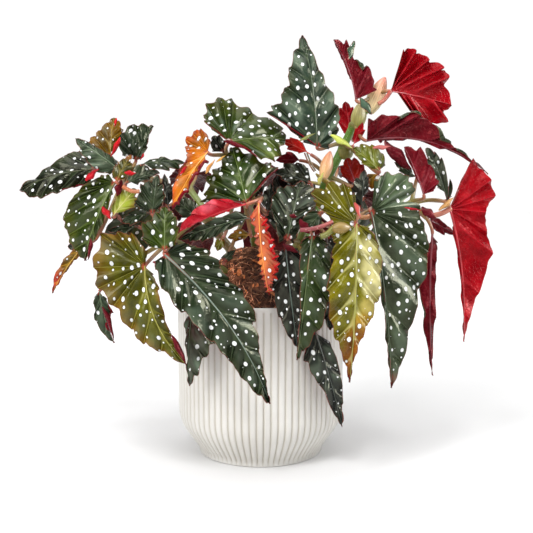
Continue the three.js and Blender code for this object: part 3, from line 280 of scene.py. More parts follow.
# Papery stipules and turned margins of leaves: start, end, width, how far it is cupped, its colour and its
# kind of surface: stem, top or underside of a leaf.
SCALES = (
    ((-170, -88, 296), (-157, -87, 308), 8, 2, CRIMSON, "under"),
    ((-145, -53, 359), (-147, -54, 350), 3, 1, BLOOD, "under"),
    ((-136, -86, 338), (-145, -88, 319), 5, 2, BLOOD, "under"),
    ((-114, -79, 323), (-118, -80, 316), 3, 1, CRIMSON, "under"),
    ((-165, -93, 241), (-168, -96, 219), 5, 2, WINE, "under"),
    ((-152, -101, 271), (-143, -102, 259), 7, 3, BLOOD, "under"),
    ((-133, -99, 297), (-137, -101, 281), 8, 2, WINE, "under"),
    ((-128, -112, 304), (-117, -112, 303), 5, 2, BLOOD, "under"),
    ((-70, -101, 310), (-77, -102, 301), 4, 1, BLOOD, "under"),
    ((-35, -82, 335), (-13, -83, 326), 5, 2, WINE, "under"),
    ((39, -71, 335), (55, -70, 343), 4, 1, "#6a6c2a", "stem"),
    ((70, -71, 341), (92, -72, 328), 8, 2, "#a4ac40", "stem"),
    ((58, -28, 303), (76, -29, 292), 7, 2, "#a8913a", "stem"),
    ((55, -123, 293), (60, -122, 304), 5, 1, "#97913c", "stem"),
    ((89, -124, 276), (94, -126, 261), 5, 1, "#a83a30", "stem"),
    ((181, -59, 266), (196, -57, 279), 6, 2, "#a8783c", "stem"),
    ((29, -95, 263), (36, -96, 261), 5, 1, WINE, "under"),
    ((38, -116, 260), (47, -118, 246), 8, 1, WINE, "under"),
    ((22, -102, 235), (37, -102, 227), 7, 1, WINE, "under"),
    ((141, -92, 270), (158, -92, 267), 3, 1, CRIMSON, "under"),
    ((158, -88, 270), (172, -90, 259), 10, 2, WINE, "under"),
    ((97, -27, 439), (92, -30, 419), 8, 1, GREEN, "top"),
    ((100, -58, 378), (112, -60, 362), 10, 2, GREEN, "top"),
    ((127, -44, 336), (154, -47, 307), 14, 2, WINE, "under"),
    ((112, -70, 329), (130, -70, 330), 5, 1, "#a8605c", "under"),
    ((-52, -97, 303), (-43, -95, 316), 4, 1, "#b87a2c", "stem"),
    ((-43, -76, 314), (-34, -75, 321), 3, 1, "#b8862c", "stem"),
    ((-146, -50, 261), (-142, -51, 253), 5, 2, "#8a4a3c", "stem"),
    ((-83, -130, 151), (-69, -133, 123), 6, 2, WINE, "under"),
    ((-157, -84, 171), (-146, -87, 138), 6, 2, WINE, "under"),
)
# Bud sheaths, thin stalks and swollen joints: start, end, radius, colour at the start and at the end.
SHEATHS = (
    ((88, -16, 318), (92, -16, 335), 8.6, "#7f7c3a", "#8a8a3c"),
    ((101, -17, 350), (107, -17, 379), 8.1, "#a3a04a", "#dcd09a"),
    ((114, -18, 367), (130, -22, 403), 9.1, "#ead6a0", "#e07c6c"),
    ((63, -72, 298), (70, -69, 325), 6.4, "#cfa470", "#b46a48"),
    ((68, -129, 252), (85, -129, 253), 5.6, "#7c6428", "#8f7436"),
    ((38, -123, 250), (69, -123, 258), 2.1, "#7a2a32", "#9a4a44"),
    ((57, -125, 244), (70, -124, 253), 2.8, "#6a6a2c", "#77752c"),
    ((94, -96, 263), (107, -96, 262), 2.3, "#a8703c", "#b87848"),
    ((171, -55, 260), (195, -54, 268), 2.7, "#a8604a", "#b06a55"),
    ((121, -39, 374), (134, -37, 387), 2.1, "#a85a44", "#a83a30"),
    ((-131, -105, 291), (-115, -106, 286), 1.9, "#a85a2c", "#a8643c"),
    ((45, -53, 324), (55, -55, 305), 0.8, "#7a4a30", "#7a5a30"),
    ((48, -44, 324), (57, -46, 306), 0.8, "#6a5a30", "#7a5a30"),
)

# ---------------------------------------------------------------- colours

CANE_TINTS = dict(right_tall="#5f8a2a", left="#7a6a3a")
CANE_SKIN, JOINT_RING = "#6d7a2f", "#8f7a45"
STALK_FOOT, STALK_HEAD = "#7f7a3a", "#a85a44"
RIM = "#6d2a20"  # the brown line round a blade
# SILVER_SHEEN is the pale grey-green laid between the veins: partly the leaves' own tone, partly painted sheen.
SPOT, SILVER_SHEEN, BLUSH = "#e6e8e8", "#5e6e5c", "#b0463a"  # BLUSH is the red by the stalk

# What sets single leaves apart, all of it optional.
# Colours: base, edge, vein and rib of the top, and under as a name in UNDERS or under_base as a colour.
# marks and under_marks_and_sheen are patches on the top and the underside: along, out, radius and colour, in
# percent of the length. Some are the leaf's own colours and some are painted sheen. spots and silver say how
# spotted the top is and how much pale grey-green it gets between the veins, partly the leaf's own tone and
# partly painted sheen, and plain moves its side veins away in millimetres.
# laps are stretches of the edge that roll over: 1 for the left half or -1 for the right, from tooth to tooth
# as numbers that count from the tip, and the width in millimetres.
# cut, ruffled and pleat are factors on the blade's form, puff stands in for PUFF, and spines are fine teeth:
# how many to a tooth and how long in millimetres.
LOOKS = {
    # Painted shade: the base is darker than the leaf's own green, for the shade it lies in.
    "far_left": dict(
        base="#0b0d05", rib="#3c3e22", silver_sheen=0.1, cut=0.3, ruffled=0.4, pleat=0.7,
        laps=((1, 3.2, 5, 2.5),)),
    "left_slim": dict(silver_sheen=0.7),
    "left_ochre": dict(base="#583c00", edge="#6e4a04", vein="#8a7020"),
    "left_crown": dict(base="#182414", silver_sheen=0.5),
    "left_olive": dict(base="#363301", edge="#5e4c08", vein="#7a6c24", marks_and_sheen=((90, 0, 20, "#8a4a10"),)),
    "left_broad": dict(base="#1f2b05", silver_sheen=0.1, cut=0.3, pleat=0.7),
    "left_twist": dict(marks_and_sheen=((85, 4, 34, "#a8281a"),)),
    "left_lime": dict(spots=0, base="#7c8622"),
    "left_flat": dict(silver_sheen=0.8),
    # Painted shade: the base is darker than the leaf's own green, for the shade it lies in.
    "mid_under": dict(base="#151d11"),
    "small_front": dict(base="#172412"),
    "low_upper": dict(silver_sheen=0.4),
    "low_olive": dict(silver_sheen=0.2, marks_and_sheen=((45, -55, 20, "#8a6212"), (75, -30, 18, "#87651a"))),
    "low_large": dict(rib="#5e6c60", laps=((-1, 6.6, 7, 3),)),
    "low_wavy": dict(base="#484a40", silver_sheen=1.0, marks_and_sheen=((20, 0, 28, "#3a1a1a"),)),
    "low_small": dict(laps=((1, 1, 3.4, 4),)),
    "mid_fan": dict(base="#1a2d01", silver_sheen=0.1),
    "mid_orange": dict(laps=((1, 0.1, 4.9, 5), (-1, 2.2, 3.2, 3))),
    "mid_crown": dict(silver_sheen=0.8, marks_and_sheen=((60, -20, 25, "#5c6a2c"),)),
    # Painted sheen: the pale pink patches on the underside.
    "mid_red": dict(under_base="#b01626", under_marks_and_sheen=((50, 18, 16, "#d45a68"), (70, -8, 14, "#c84454"))),
    "mid_spiny": dict(
        base="#be3e02", rib="#d88430", spines=(3, 2.8), pleat=0.35, plain=9, laps=((1, 1, 5.5, 4.6),),
        marks_and_sheen=((98, 0, 20, "#c81414"), (60, -12, 22, "#d06a10"))),
    # Painted shade: the base is darker than the leaf's own green, for the shade it lies in.
    "front_star": dict(base="#0b1107", silver_sheen=0.5, cut=0.6, pleat=0.6),
    "front_dark": dict(base="#1c1a18", rib="#4c5a52", silver_sheen=0.3),
    "front_wavy": dict(silver_sheen=0.3, ruffled=1.6, marks_and_sheen=((35, -20, 14, "#3c2a22"),)),
    "front_low": dict(base="#1f2221", silver_sheen=0.4),
    # Painted sheen: the pale patches along the midrib. The brown and orange patches lower down and the red tip
    # are the leaf's own.
    "yellow": dict(base="#5a5602", edge="#5e5406", silver_sheen=0.0, rib="#86843a", marks_and_sheen=(
        (14, 7, 8, "#b5ad70"), (26, 10, 10, "#b4ac74"), (38, 11, 9, "#bab27c"), (50, 9, 8, "#a8984c"),
        (61, 6, 10, "#8a6a1c"), (72, 3, 13, "#7a4606"), (84, 0, 13, "#744006"), (55, -18, 10, "#6a5006"),
        (99, 0, 8, "#7a1818"))),
    # Painted sheen: the two grey-green patches. The brown patch at the tip is the leaf's own.
    "right_large": dict(base="#2c3522", silver_sheen=0.4, cut=0.5, ruffled=0.6, marks_and_sheen=(
        (97, 0, 8, "#6a2a20"), (-11, 16, 18, "#46563a"), (30, -8, 16, "#3e4a3e"))),
    "top_tall": dict(base="#243127", silver_sheen=0.7),
    "right_red": dict(cut=0.2, ruffled=0.2, pleat=0.9),
    "top_fan": dict(cut=0.8, pleat=2, puff=0.2),
    "top_rolled": dict(under="crimson", laps=((1, 2.05, 3.0, 9),)),
    "right_long": dict(laps=((-1, 3.9, 5.0, 10), (-1, 2.2, 3.3, 9), (-1, 1.1, 1.9, 6)), pleat=1.4),
    "right_zigzag": dict(base="#414838", silver_sheen=0.3, cut=2.5),
    "right_lime": dict(base="#454a01", edge="#6a6408", vein="#7c8034"),
    "heart_bright": dict(under_base="#b01018"),
    "crown_curl": dict(under_base="#b81a14"),
    "right_hang": dict(laps=((1, 1.2, 3.5, 4),)),
    "heart_low": dict(under_base="#7a1408"),
    # Painted shade: the base is darker than the leaf's own green, for the shade it lies in.
    "crown_dots": dict(base="#090d03", silver_sheen=0.2),
    "left_inner": dict(base="#3a4123"),
}

# Colours of the upper side of the leaves: the blade, its edge and its veins.
TOPS = dict(
    dark=("#1a2415", "#252a14", "#3c4a30"),
    green=("#263318", "#2d3117", "#4c5a30"),
    mid=("#243304", "#3a3c0e", "#56662c"),
    grey=("#303c2c", "#343a24", "#56664c"),
    black=("#191a17", "#201c17", "#363d35"),
    olive=("#494808", "#67480c", "#8c8834"),
    lime=("#6c7008", "#7f5c0a", "#c2bd78"),
    ochre=("#6a4c02", "#8a4606", "#b88f34"),
    orange=("#a85a00", "#a83802", "#e0a040"),
    scarlet=("#c44a08", "#c01c10", "#d87038"),
    red=("#1f2a1d", "#252a14", "#3c4a34"),
    crimson=("#1f2a1d", "#252a14", "#3c4a34"),
)
# Colours of the underside: the blade and its veins. shaded is painted shade: a darker underside for the
# leaves at the back.
UNDERS = dict(
    red=("#8e0410", "#b8242e"), crimson=("#5c0a15", "#802832"), scarlet=("#b01218", "#d04a3c"),
    other=("#640a16", "#8a3038"), shaded=("#3c1012", "#602a26"),
)


def draw(seed):
    """A repeatable number from 0 to 1 for any seed."""
    x = math.sin(seed * 12.9898) * 43758.5453
    return x - math.floor(x)


def linear(colour):
    """A colour like #aabbcc as linear red, green, blue."""
    parts = np.array([int(colour[i : i + 2], 16) / 255 for i in (1, 3, 5)])
    return np.where(parts <= 0.04045, parts / 12.92, ((parts + 0.055) / 1.055) ** 2.4)


def blend(start, end, share):
    """From one colour to another, by a share of 0 to 1 for each point."""
    return start * (1 - share) + end * share


def unit(v):
    """Vectors brought to length 1."""
    return v / np.maximum(np.linalg.norm(v, axis=-1, keepdims=True), 1e-12)


def smooth(x, low, high):
    """0 at low, 1 at high and a smooth step between them."""
    t = np.clip((x - low) / (high - low), 0, 1)
    return t * t * (3 - 2 * t)


def grid(*parts):
    """Three values for each point of a grid."""
    return np.stack(np.broadcast_arrays(*parts), axis=-1)


# ---------------------------------------------------------------- materials

LARGE_SPOTS = dict(cell=9.6, largest=0.215, share_shown=0.92)
TINY_SPOTS = dict(cell=6.0, largest=0.14, share_shown=0.1)
COAT = dict(Coat_Weight=0.04, Coat_Roughness=0.12)


class Graph:
    """The nodes of a material or the world, made by short calls. A value is a number, a colour or another
    node's output."""

    def __init__(self, owner):
        self.owner = owner
        owner.use_nodes = True
        self.tree = owner.node_tree

    def node(self, kind, inputs=(), **props):
        made = self.tree.nodes.new("ShaderNode" + kind)
        for key, value in props.items():
            setattr(made, key, value)
        for key, value in dict(inputs).items():
            self.set(made.inputs[key], value)
        return made

    def set(self, socket, value):
        if isinstance(value, bpy.types.NodeSocket):
            self.tree.links.new(value, socket)
        elif isinstance(value, str):
            socket.default_value = (*linear(value), 1)
        else:
            socket.default_value = value

    def math(self, operation, a, b):
        return self.node("Math", {0: a, 1: b}, operation=operation).outputs[0]

    def times(self, first, *factors):
        for factor in factors:
            first = self.math("MULTIPLY", first, factor)
        return first

    def plus(self, first, *terms):
        for term in terms:
            first = self.math("ADD", first, term)
        return first

    def line(self, value, slope, start):
        """start + slope * value."""
        return self.node("Math", {0: value, 1: slope, 2: start}, operation="MULTIPLY_ADD").outputs[0]

    def step(self, value, low, high, to_low=0.0, to_high=1.0):
        """to_low where the value is at low, to_high where it is at high and a smooth step between them."""
        inputs = {"Value": value, "From Min": low, "From Max": high, "To Min": to_low, "To Max": to_high}
        return self.node("MapRange", inputs, interpolation_type="SMOOTHSTEP").outputs[0]

    def spread(self, noise, low, high):
        """Brings a noise's middle values to a range from low to high."""
        return self.step(noise, 0.3, 0.7, low, high)

    def mix(self, share, a, b, way="MIX"):
        return self.node("Mix", {0: share, 6: a, 7: b}, data_type="RGBA", blend_type=way).outputs[2]

    def vector(self, operation, a, b):
        return self.node("VectorMath", {0: a, 1: b}, operation=operation).outputs[0]

    def scale(self, vector, factor):
        """A colour or another vector times a number."""
        return self.node("VectorMath", {0: vector, "Scale": factor}, operation="SCALE").outputs[0]

    def parts(self, vector):
        return self.node("SeparateXYZ", {0: vector}).outputs

    def read_colour(self, name):
        return self.node("Attribute", attribute_name=name).outputs["Color"]

    def read_vector(self, name):
        return self.node("Attribute", attribute_name=name).outputs["Vector"]

    def tinted(self, colour):
        """A colour times the tint that each point of the mesh has."""
        return self.mix(1.0, colour, self.read_colour("tint"), "MULTIPLY")

    def place(self):
        """The place on the piece, in metres."""
        return self.node("TexCoord").outputs["Object"]

    def noise(self, scale, place, detail=3.0, roughness=0.5):
        inputs = {"Scale": scale, "Detail": detail, "Roughness": roughness, "Vector": place}
        return self.node("TexNoise", inputs).outputs[0]

    def net(self, place, scale):
        """Distance to the nearest line of a fine net, in cells."""
        props = dict(feature="DISTANCE_TO_EDGE", voronoi_dimensions="2D")
        return self.node("TexVoronoi", {"Vector": place, "Scale": scale}, **props).outputs["Distance"]

    def bump(self, height, distance, strength=1.0):
        inputs = {"Height": height, "Distance": distance, "Strength": strength}
        return self.node("Bump", inputs).outputs[0]

    def finish(self, **sockets):
        """Sets what the surface is like and gives the material."""
        shader = self.tree.nodes["Principled BSDF"]
        for key, value in sockets.items():
            self.set(shader.inputs[key.replace("_", " ")], value)
        return self.owner


def blade_coordinates(g):
    """place: the flat blade's millimetres and share of the way out. Millimetres to the nearest side vein,
    the midrib and the edge. How spotted it is, how much pale grey-green tone and painted sheen it gets,
    and millimetres to the stalk."""
    return g.read_vector("place"), g.parts(g.read_vector("near")), g.parts(g.read_vector("look"))


def spot_mask(g, place, edge, out, midrib, cell, largest, share_shown):
    """Oval spots, one to a cell of the blade, smaller towards the edge and none on the midrib, and the
    dark halo round them. cell is in millimetres and largest a radius in cells."""
    wobble = g.scale(g.node("TexNoise", {"Vector": place, "Scale": 0.45}).outputs[1], 0.5)
    ovals = g.vector("MULTIPLY", g.vector("ADD", place, wobble), (0.8 / cell, 1 / cell, 0))
    inputs = {"Vector": ovals, "Scale": 1.0, "Randomness": 0.62}
    cells = g.node("TexVoronoi", inputs, voronoi_dimensions="2D").outputs
    dice = g.node("SeparateColor", {0: cells["Color"]}).outputs
    size = g.times(
        g.line(g.math("POWER", dice[0], 1.2), largest * 0.6, largest * 0.4),
        g.step(edge, 0.0, 6.5, 0.48, 1.0),
        g.step(midrib, 0.6, 2.4),
        g.step(dice[1], share_shown, share_shown - 0.01),
        g.step(out, 1.0, 0.97),
    )
    inside = g.math("SUBTRACT", size, cells["Distance"])
    return g.step(inside, -0.012, 0.03), g.step(inside, -0.12, -0.01)


def blade_top_material():
    g = Graph(bpy.data.materials.new("leaf_top"))
    place, (vein, midrib, edge), (spotted, silver_and_sheen, stalk) = blade_coordinates(g)
    out = g.parts(place)[2]
    vein_tint = g.read_colour("vein_tint")
    clouds = g.spread(g.noise(0.05, place, 2.0), 0.6, 1.4)
    colour = g.scale(g.read_colour("tint"), clouds)
    # Painted sheen: pale grey-green clouds between the veins, partly the leaf's own tone and partly standing
    # for glossy highlights.
    silver_sheen_clouds = g.step(g.noise(0.035, place, 1.0), 0.42, 0.62)
    between_veins = g.step(vein, 0.5, 6.0)
    colour = g.mix(g.times(between_veins, silver_sheen_clouds, silver_and_sheen), colour, SILVER_SHEEN)
    colour = g.mix(g.times(g.step(vein, 0.8, 0.1), 0.38), colour, vein_tint)
    net = g.net(place, 0.3)
    colour = g.mix(g.step(net, 0.06, 0.0, 0.0, 0.1), colour, vein_tint)
    large, halo = spot_mask(g, place, edge, out, midrib, **LARGE_SPOTS)
    tiny, _ = spot_mask(g, place, edge, out, midrib, **TINY_SPOTS)
    spots = g.times(g.math("MAXIMUM", large, tiny), spotted)
    colour = g.scale(colour, g.line(g.times(halo, spotted), -0.3, 1.0))
    colour = g.mix(spots, colour, SPOT)
    colour = g.mix(g.step(stalk, 5.0, 1.5, 0.0, 0.8), colour, BLUSH)
    colour = g.mix(g.step(edge, 0.8, 0.25, 0.0, 0.8), colour, RIM)
    vein_groove, net_groove = g.step(vein, 0.0, 1.6), g.step(net, 0.0, 0.3, 0.0, 0.07)
    puffed, uneven = g.step(vein, 0.0, 7.0, 0.0, 2.2), g.times(g.noise(0.09, place, 1.0), 1.4)
    height = g.plus(vein_groove, net_groove, g.times(spots, 0.25), puffed, uneven)
    skin = g.spread(g.noise(0.12, place), 0.16, 0.27)
    return g.finish(
        Base_Color=colour, Roughness=g.plus(skin, g.times(spots, 0.15)),
        Normal=g.bump(height, 0.0008), Specular_IOR_Level=0.26, Specular_Tint="#f4f4d4", **COAT,
    )


def blade_under_material():
    g = Graph(bpy.data.materials.new("leaf_underside"))
    place, (vein, _, _), _ = blade_coordinates(g)
    vein_tint = g.read_colour("vein_tint")
    clouds = g.spread(g.noise(0.06, place, 2.0), 0.75, 1.3)
    colour = g.scale(g.read_colour("tint"), clouds)
    colour = g.mix(g.step(vein, 0.8, 0.2, 0.0, 0.5), colour, vein_tint)
    net = g.net(place, 0.26)
    colour = g.mix(g.step(net, 0.08, 0.0, 0.0, 0.12), colour, vein_tint)
    vein_ridge, net_ridge = g.step(vein, 1.3, 0.0), g.step(net, 0.12, 0.0, 0.0, 0.35)
    uneven, hollow = g.times(g.noise(0.1, place, 1.0), 1.4), g.step(vein, 0.0, 7.0, 1.4, 0.0)
    height = g.plus(vein_ridge, net_ridge, uneven, hollow)
    return g.finish(
        Base_Color=colour, Roughness=g.spread(g.noise(0.12, place), 0.18, 0.32),
        Normal=g.bump(height, 0.0009, 0.9), Specular_IOR_Level=0.28, Specular_Tint="#ff7474", **COAT,
    )


def tissue_material(name, roughness, flecks):
    """Stems, ribs and sheaths: their own tint with streaks along them and pale flecks."""
    g = Graph(bpy.data.materials.new(name))
    place = g.read_vector("place")
    streaks = g.noise(1.0, g.vector("MULTIPLY", place, (0.05, 0.9, 0.0)))
    colour = g.scale(g.read_colour("tint"), g.spread(streaks, 0.75, 1.25))
    fleck = g.node("TexVoronoi", {"Vector": place, "Scale": 0.35}).outputs["Distance"]
    colour = g.mix(g.step(fleck, 0.16, 0.1, 0.0, flecks), colour, "#dfe0c0")
    return g.finish(
        Base_Color=colour, Roughness=g.spread(streaks, roughness - 0.08, roughness + 0.08),
        Normal=g.bump(streaks, 0.0004, 0.6), Coat_Weight=0.1,
    )


def pot_material():
    g = Graph(bpy.data.materials.new("pot_ceramic"))
    place = g.place()
    cloud = g.noise(18.0, place)
    grain = g.noise(900.0, place, 2.0)
    colour = g.mix(g.spread(cloud, 0.0, 1.0), "#ccc9c3", "#d6d4cf")
    colour = g.mix(g.step(grain, 0.62, 0.75, 0.0, 0.25), colour, "#c4bdb0")
    return g.finish(
        Base_Color=g.tinted(colour), Roughness=g.spread(cloud, 0.5, 0.62),
        Normal=g.bump(grain, 0.0002, 0.25),
    )


def soil_material(name, dark, light):
    g = Graph(bpy.data.materials.new(name))
    grain = g.noise(260.0, g.place(), 4.0, 0.65)
    colour = g.mix(g.step(grain, 0.35, 0.7), dark, light)
    return g.finish(
        Base_Color=g.tinted(colour), Roughness=g.spread(grain, 0.8, 0.98),
        Normal=g.bump(grain, 0.002, 0.9), Specular_IOR_Level=0.25,
    )


def floor_material():
    g = Graph(bpy.data.materials.new("floor"))
    place = g.place()
    distance = g.node("VectorMath", {0: place}, operation="LENGTH").outputs["Value"]
    # Painted shade: the floor is painted darker near the pot and paler far off.
    colour = g.mix(g.step(distance, 0.2, 1.2), "#dcdcdc", "#fafafa")
    return g.finish(Base_Color=colour, Roughness=g.spread(g.noise(6.0, place), 0.7, 0.8))


# ---------------------------------------------------------------- meshes

POINT_VALUES = ("place", "near", "look", "tint", "vein_tint")


def run_length(line):
    """Distance from the start of a line to each of its points."""
    return np.concatenate([[0], np.cumsum(np.linalg.norm(np.diff(line, axis=0), axis=1))])


def add_object(name, data):
    made = bpy.data.objects.new(name, data)
    bpy.context.scene.collection.objects.link(made)
    return made


class Shell:
    """Collects grids of faces with what their materials read at each point, and makes one mesh of them."""

    def __init__(self):
        self.points, self.faces, self.materials = [], [], []
        self.values = {name: [] for name in POINT_VALUES}
        self.count = 0

    def sheet(self, points, material, flip=False, **values):
        """A grid of points as faces, with the number of their material and values for all points or each."""
        rows, columns = points.shape[:2]
        index = self.count + np.arange(rows * columns).reshape(rows, columns)
        a, b, c, d = index[:-1, :-1], index[:-1, 1:], index[1:, 1:], index[1:, :-1]
        corners = (d, c, b, a) if flip else (a, b, c, d)
        faces = np.stack([corner.ravel() for corner in corners], axis=1).tolist()
        self.points.append(points.reshape(-1, 3))
        self.faces += faces
        self.materials += [material] * len(faces)
        for name, made in self.values.items():
            value = np.broadcast_to(np.asarray(values.get(name, (0, 0, 0)), float), points.shape)
            made.append(value.reshape(-1, 3))
        self.count += rows * columns

    def tube(self, line, radius, material, tint, sides=8, squash=1.0, up=(0, 0, 1)):
        """A round bar along a line of points, closed at both ends. squash flattens it along up."""
        line = np.asarray(line, float)
        radius = np.broadcast_to(np.asarray(radius, float), len(line))
        ahead = unit(np.gradient(line, axis=0))
        across = np.cross(ahead, np.asarray(up, float))
        weak = np.linalg.norm(across, axis=1) < 0.15
        across[weak] = np.cross(ahead[weak], (0.6, 0.8, 0.0))
        for i in range(1, len(across)):
            if np.dot(across[i], across[i - 1]) < 0:
                across[i] = -across[i]
        across = unit(across)
        rise = np.cross(across, ahead)
        turn = np.linspace(0, 2 * math.pi, sides + 1)
        ring = np.cos(turn)[:, None] * across[:, None] + squash * np.sin(turn)[:, None] * rise[:, None]
        rows = [0, *range(len(line)), -1]
        points = line[rows][:, None] + np.pad(radius, 1)[:, None, None] * ring[rows]
        place = grid(run_length(line)[rows][:, None], turn * radius.mean(), 0.0)
        if np.ndim(tint) > 1:
            tint = np.repeat(tint[rows][:, None], sides + 1, axis=1)
        self.sheet(points, material, place=place, tint=tint)

    def build(self, name, materials, slot, replaces=()):
        """Makes the piece, in metres."""
        mesh = bpy.data.meshes.new(name)
        mesh.from_pydata((np.concatenate(self.points) / 1000).tolist(), [], self.faces)
        mesh.polygons.foreach_set("material_index", self.materials)
        mesh.polygons.foreach_set("use_smooth", [True] * len(self.faces))
        for key, value in self.values.items():
            made = mesh.attributes.new(key, "FLOAT_VECTOR", "POINT")
            made.data.foreach_set("vector", np.concatenate(value).ravel())
        for material in materials:
            mesh.materials.append(material)
        mesh.update()
        piece = add_object(name, mesh)
        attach(piece, "root")
        if replaces:
            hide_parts(*replaces)


# ---------------------------------------------------------------- leaf blades

TOP, UNDER, EDGE, RIB = range(4)  # the materials of a leaf
VEIN_SLANT = 1.15  # how far a side vein runs towards the tip, for each step outwards
FINE_STEPS, COARSE_STEPS, LONG = 12, 7, 60  # points of the edge to a tooth, on leaves over and under LONG
RING, ROLL_STEPS = 2.2, 6  # width of a strip of faces, and how many strips a rolled edge has


def leaf_axes(leaf):
    """A leaf's own axes, forward from stalk to tip, up out of its top and left across it, and its length."""
    at = np.array(leaf["at"], float)
    forward = np.array(leaf["tip"], float) - at
    length = np.linalg.norm(forward)
    forward = forward / length
    up = np.array(leaf["face"], float)
    up = unit(up - forward * np.dot(up, forward))
    return dict(at=at, forward=forward, up=up, left=np.cross(up, forward), length=length)


def wave_height(reach, gap):
    """Waves are lower where two teeth are close together."""
    return min(1, reach * gap / 2 / CLOSE)


def edge_line(teeth, steps, cut, ruffled):
    """The edge of half a blade from its tip to the stalk: angle and distance round the stalk, tooth count
    and how high its waves are. It is drawn in between two teeth."""
    tips = [(0.0, 1.0, None)]
    for along, out, *depth in teeth:
        angle = math.atan2(out, along) % (2 * math.pi)
        tips.append((angle, math.hypot(along, out) / 100, depth[0] if depth else None))
    gaps = [b[0] - a[0] for a, b in zip(tips, tips[1:])]
    rows, waves = [], []
    for k, gap in enumerate(gaps):
        (start, near, depth), (_, far, _) = tips[k], tips[k + 1]
        depth = CUT * min(1, gap / WIDE) if depth is None else depth
        lean = draw(k + near * 9) * 2 * math.pi
        frill = ruffled * min(FRILL, 0.2 * gap)
        for j in range(steps + (k == len(gaps) - 1)):
            s = j / steps
            chord = near * far * math.sin(gap) / (near * math.sin(gap * s) + far * math.sin(gap * (1 - s)))
            bulge = frill * math.sin(math.pi * s) * math.sin(4 * math.pi * s + lean)
            notch = math.sin(math.pi * s**1.8) ** 1.3 - 0.4 * math.sin(math.pi * min(s / 0.66, 1))
            rows.append((start + gap * s, chord * (1 - cut * depth * notch) + bulge, k + s))
        before = gaps[k - 1] if k else gap
        waves.append((k, wave_height(near, min(before, gap))))
        waves.append((k + 0.5, wave_height((near + far) / 2, gap)))
    waves.append((len(gaps), wave_height(tips[-1][1], gaps[-1])))
    angle, reach, count = np.array(rows).T
    return angle, reach, count, np.interp(count, *np.array(waves).T)


def fine_teeth(along, across, count, spines, size):
    """The edge with fine teeth on it, so many to a tooth. size is a share of the leaf's length."""
    tooth = size * (np.abs((spines * count) % 1 - 0.5) * 4 - 1) * np.abs(np.sin(math.pi * count)) ** 0.5
    turned = unit(np.stack([-np.gradient(across), np.gradient(along)], axis=1))
    turned = turned * -1 if np.mean(turned[:, 1]) > 0 else turned
    return along - tooth * turned[:, 0], across - tooth * turned[:, 1]


def pleats(edge, count, out, height, puff, side, phase):
    """How high the blade stands between its side veins, less where two teeth are close together."""
    tips = np.arange(int(count[-1]) + 1)
    corners = np.stack([np.interp(tips, count, edge[:, 0]), np.interp(tips, count, edge[:, 1])], axis=1)
    gaps = np.linalg.norm(np.diff(corners, axis=0), axis=1)
    folds = np.array([0.6 + 0.8 * draw(1.7 * k + 5 * phase + side) for k in tips[:-1]])
    folds = np.minimum(FINE_PLEAT * folds, puff * gaps)
    fold = np.interp(count, tips[:-1] + 0.5, folds)[:, None]
    vein = np.abs(np.sin(math.pi * count))[:, None]
    return height * fold * out**0.8 * (2 * vein**1.2 - 1)


def ripples(along, across, out, count, ease, side, phase):
    """The waves and ruffles of the edge, as high as ease says, and the swellings of the surface."""
    share = (count / count[-1])[:, None]
    wave = WAVE * out**2 * ease * np.sin(2 * math.pi * (WAVE_TURNS * side * share + phase))
    ruffle = RUFFLE * out**4 * ease * np.sin(2 * math.pi * (RUFFLE_TURNS * count[:, None] + 3 * phase))
    swell = np.sin(2 * math.pi * (1.7 * along + 5 * phase))
    swell = swell * np.sin(2 * math.pi * (2.1 * across + 7 * phase))
    return wave + ruffle + SWELL * np.minimum(1, 2 * out) * swell


def half_blade(leaf, axes, looks, side, teeth):
    """The top of half a blade as a grid of points from the midrib out to the edge, and what its material
    reads. Each line of the grid runs to the edge as a side vein does."""
    length = axes["length"]
    steps = FINE_STEPS if length > LONG else COARSE_STEPS
    angle, reach, count, waves = edge_line(teeth, steps, looks.get("cut", 1), looks.get("ruffled", 1))
    edge_along, edge_across = reach * np.cos(angle), reach * np.sin(angle)
    base = np.minimum.accumulate(np.clip(edge_along - VEIN_SLANT * np.abs(edge_across), 0, 1))
    widest = length * np.max(np.abs(edge_across))
    rings = int(np.clip(widest / RING, 5, 20))
    out = (np.arange(rings + 1) / rings)[None, :]
    spines, size = looks.get("spines", (2, 0.3))
    edge_along, edge_across = fine_teeth(edge_along, edge_across, count, spines, size / length)
    along = base[:, None] + out * (edge_along - base)[:, None]
    across = out * edge_across[:, None]
    edge = np.stack([edge_along, edge_across], axis=1)
    phase = draw(leaf["at"][0] + 3 * leaf["at"][2])
    arch = np.where(along > 0, 4 * ARCH * along * (1 - along), DROOP * ARCH * along)
    pleat = pleats(edge, count, out, looks.get("pleat", 1), looks.get("puff", PUFF), side, phase)
    ripple = ripples(along, across, out, count, waves[:, None], side, phase)
    slope = math.radians(FOLD)
    rise = arch + pleat + ripple - np.abs(across) * math.sin(slope)
    bend = leaf.get("bend", 0) * 4 * np.maximum(along, 0) * (1 - along)
    sideways = side * across * math.cos(slope) + bend
    points = axes["at"] + length * (
        along[..., None] * axes["forward"]
        + sideways[..., None] * axes["left"]
        + rise[..., None] * axes["up"]
    )
    ends = edge * length
    run = run_length(ends)
    to_vein = np.abs(run - np.interp(np.round(count), count, run))[:, None] * out
    chord = np.linalg.norm(ends - np.stack([base * length, 0 * base], axis=1), axis=1)[:, None]
    return dict(points=points, along=along * length, across=across * length, out=out + 0 * along,
                vein=to_vein, edge=(1 - out) * chord, count=count)


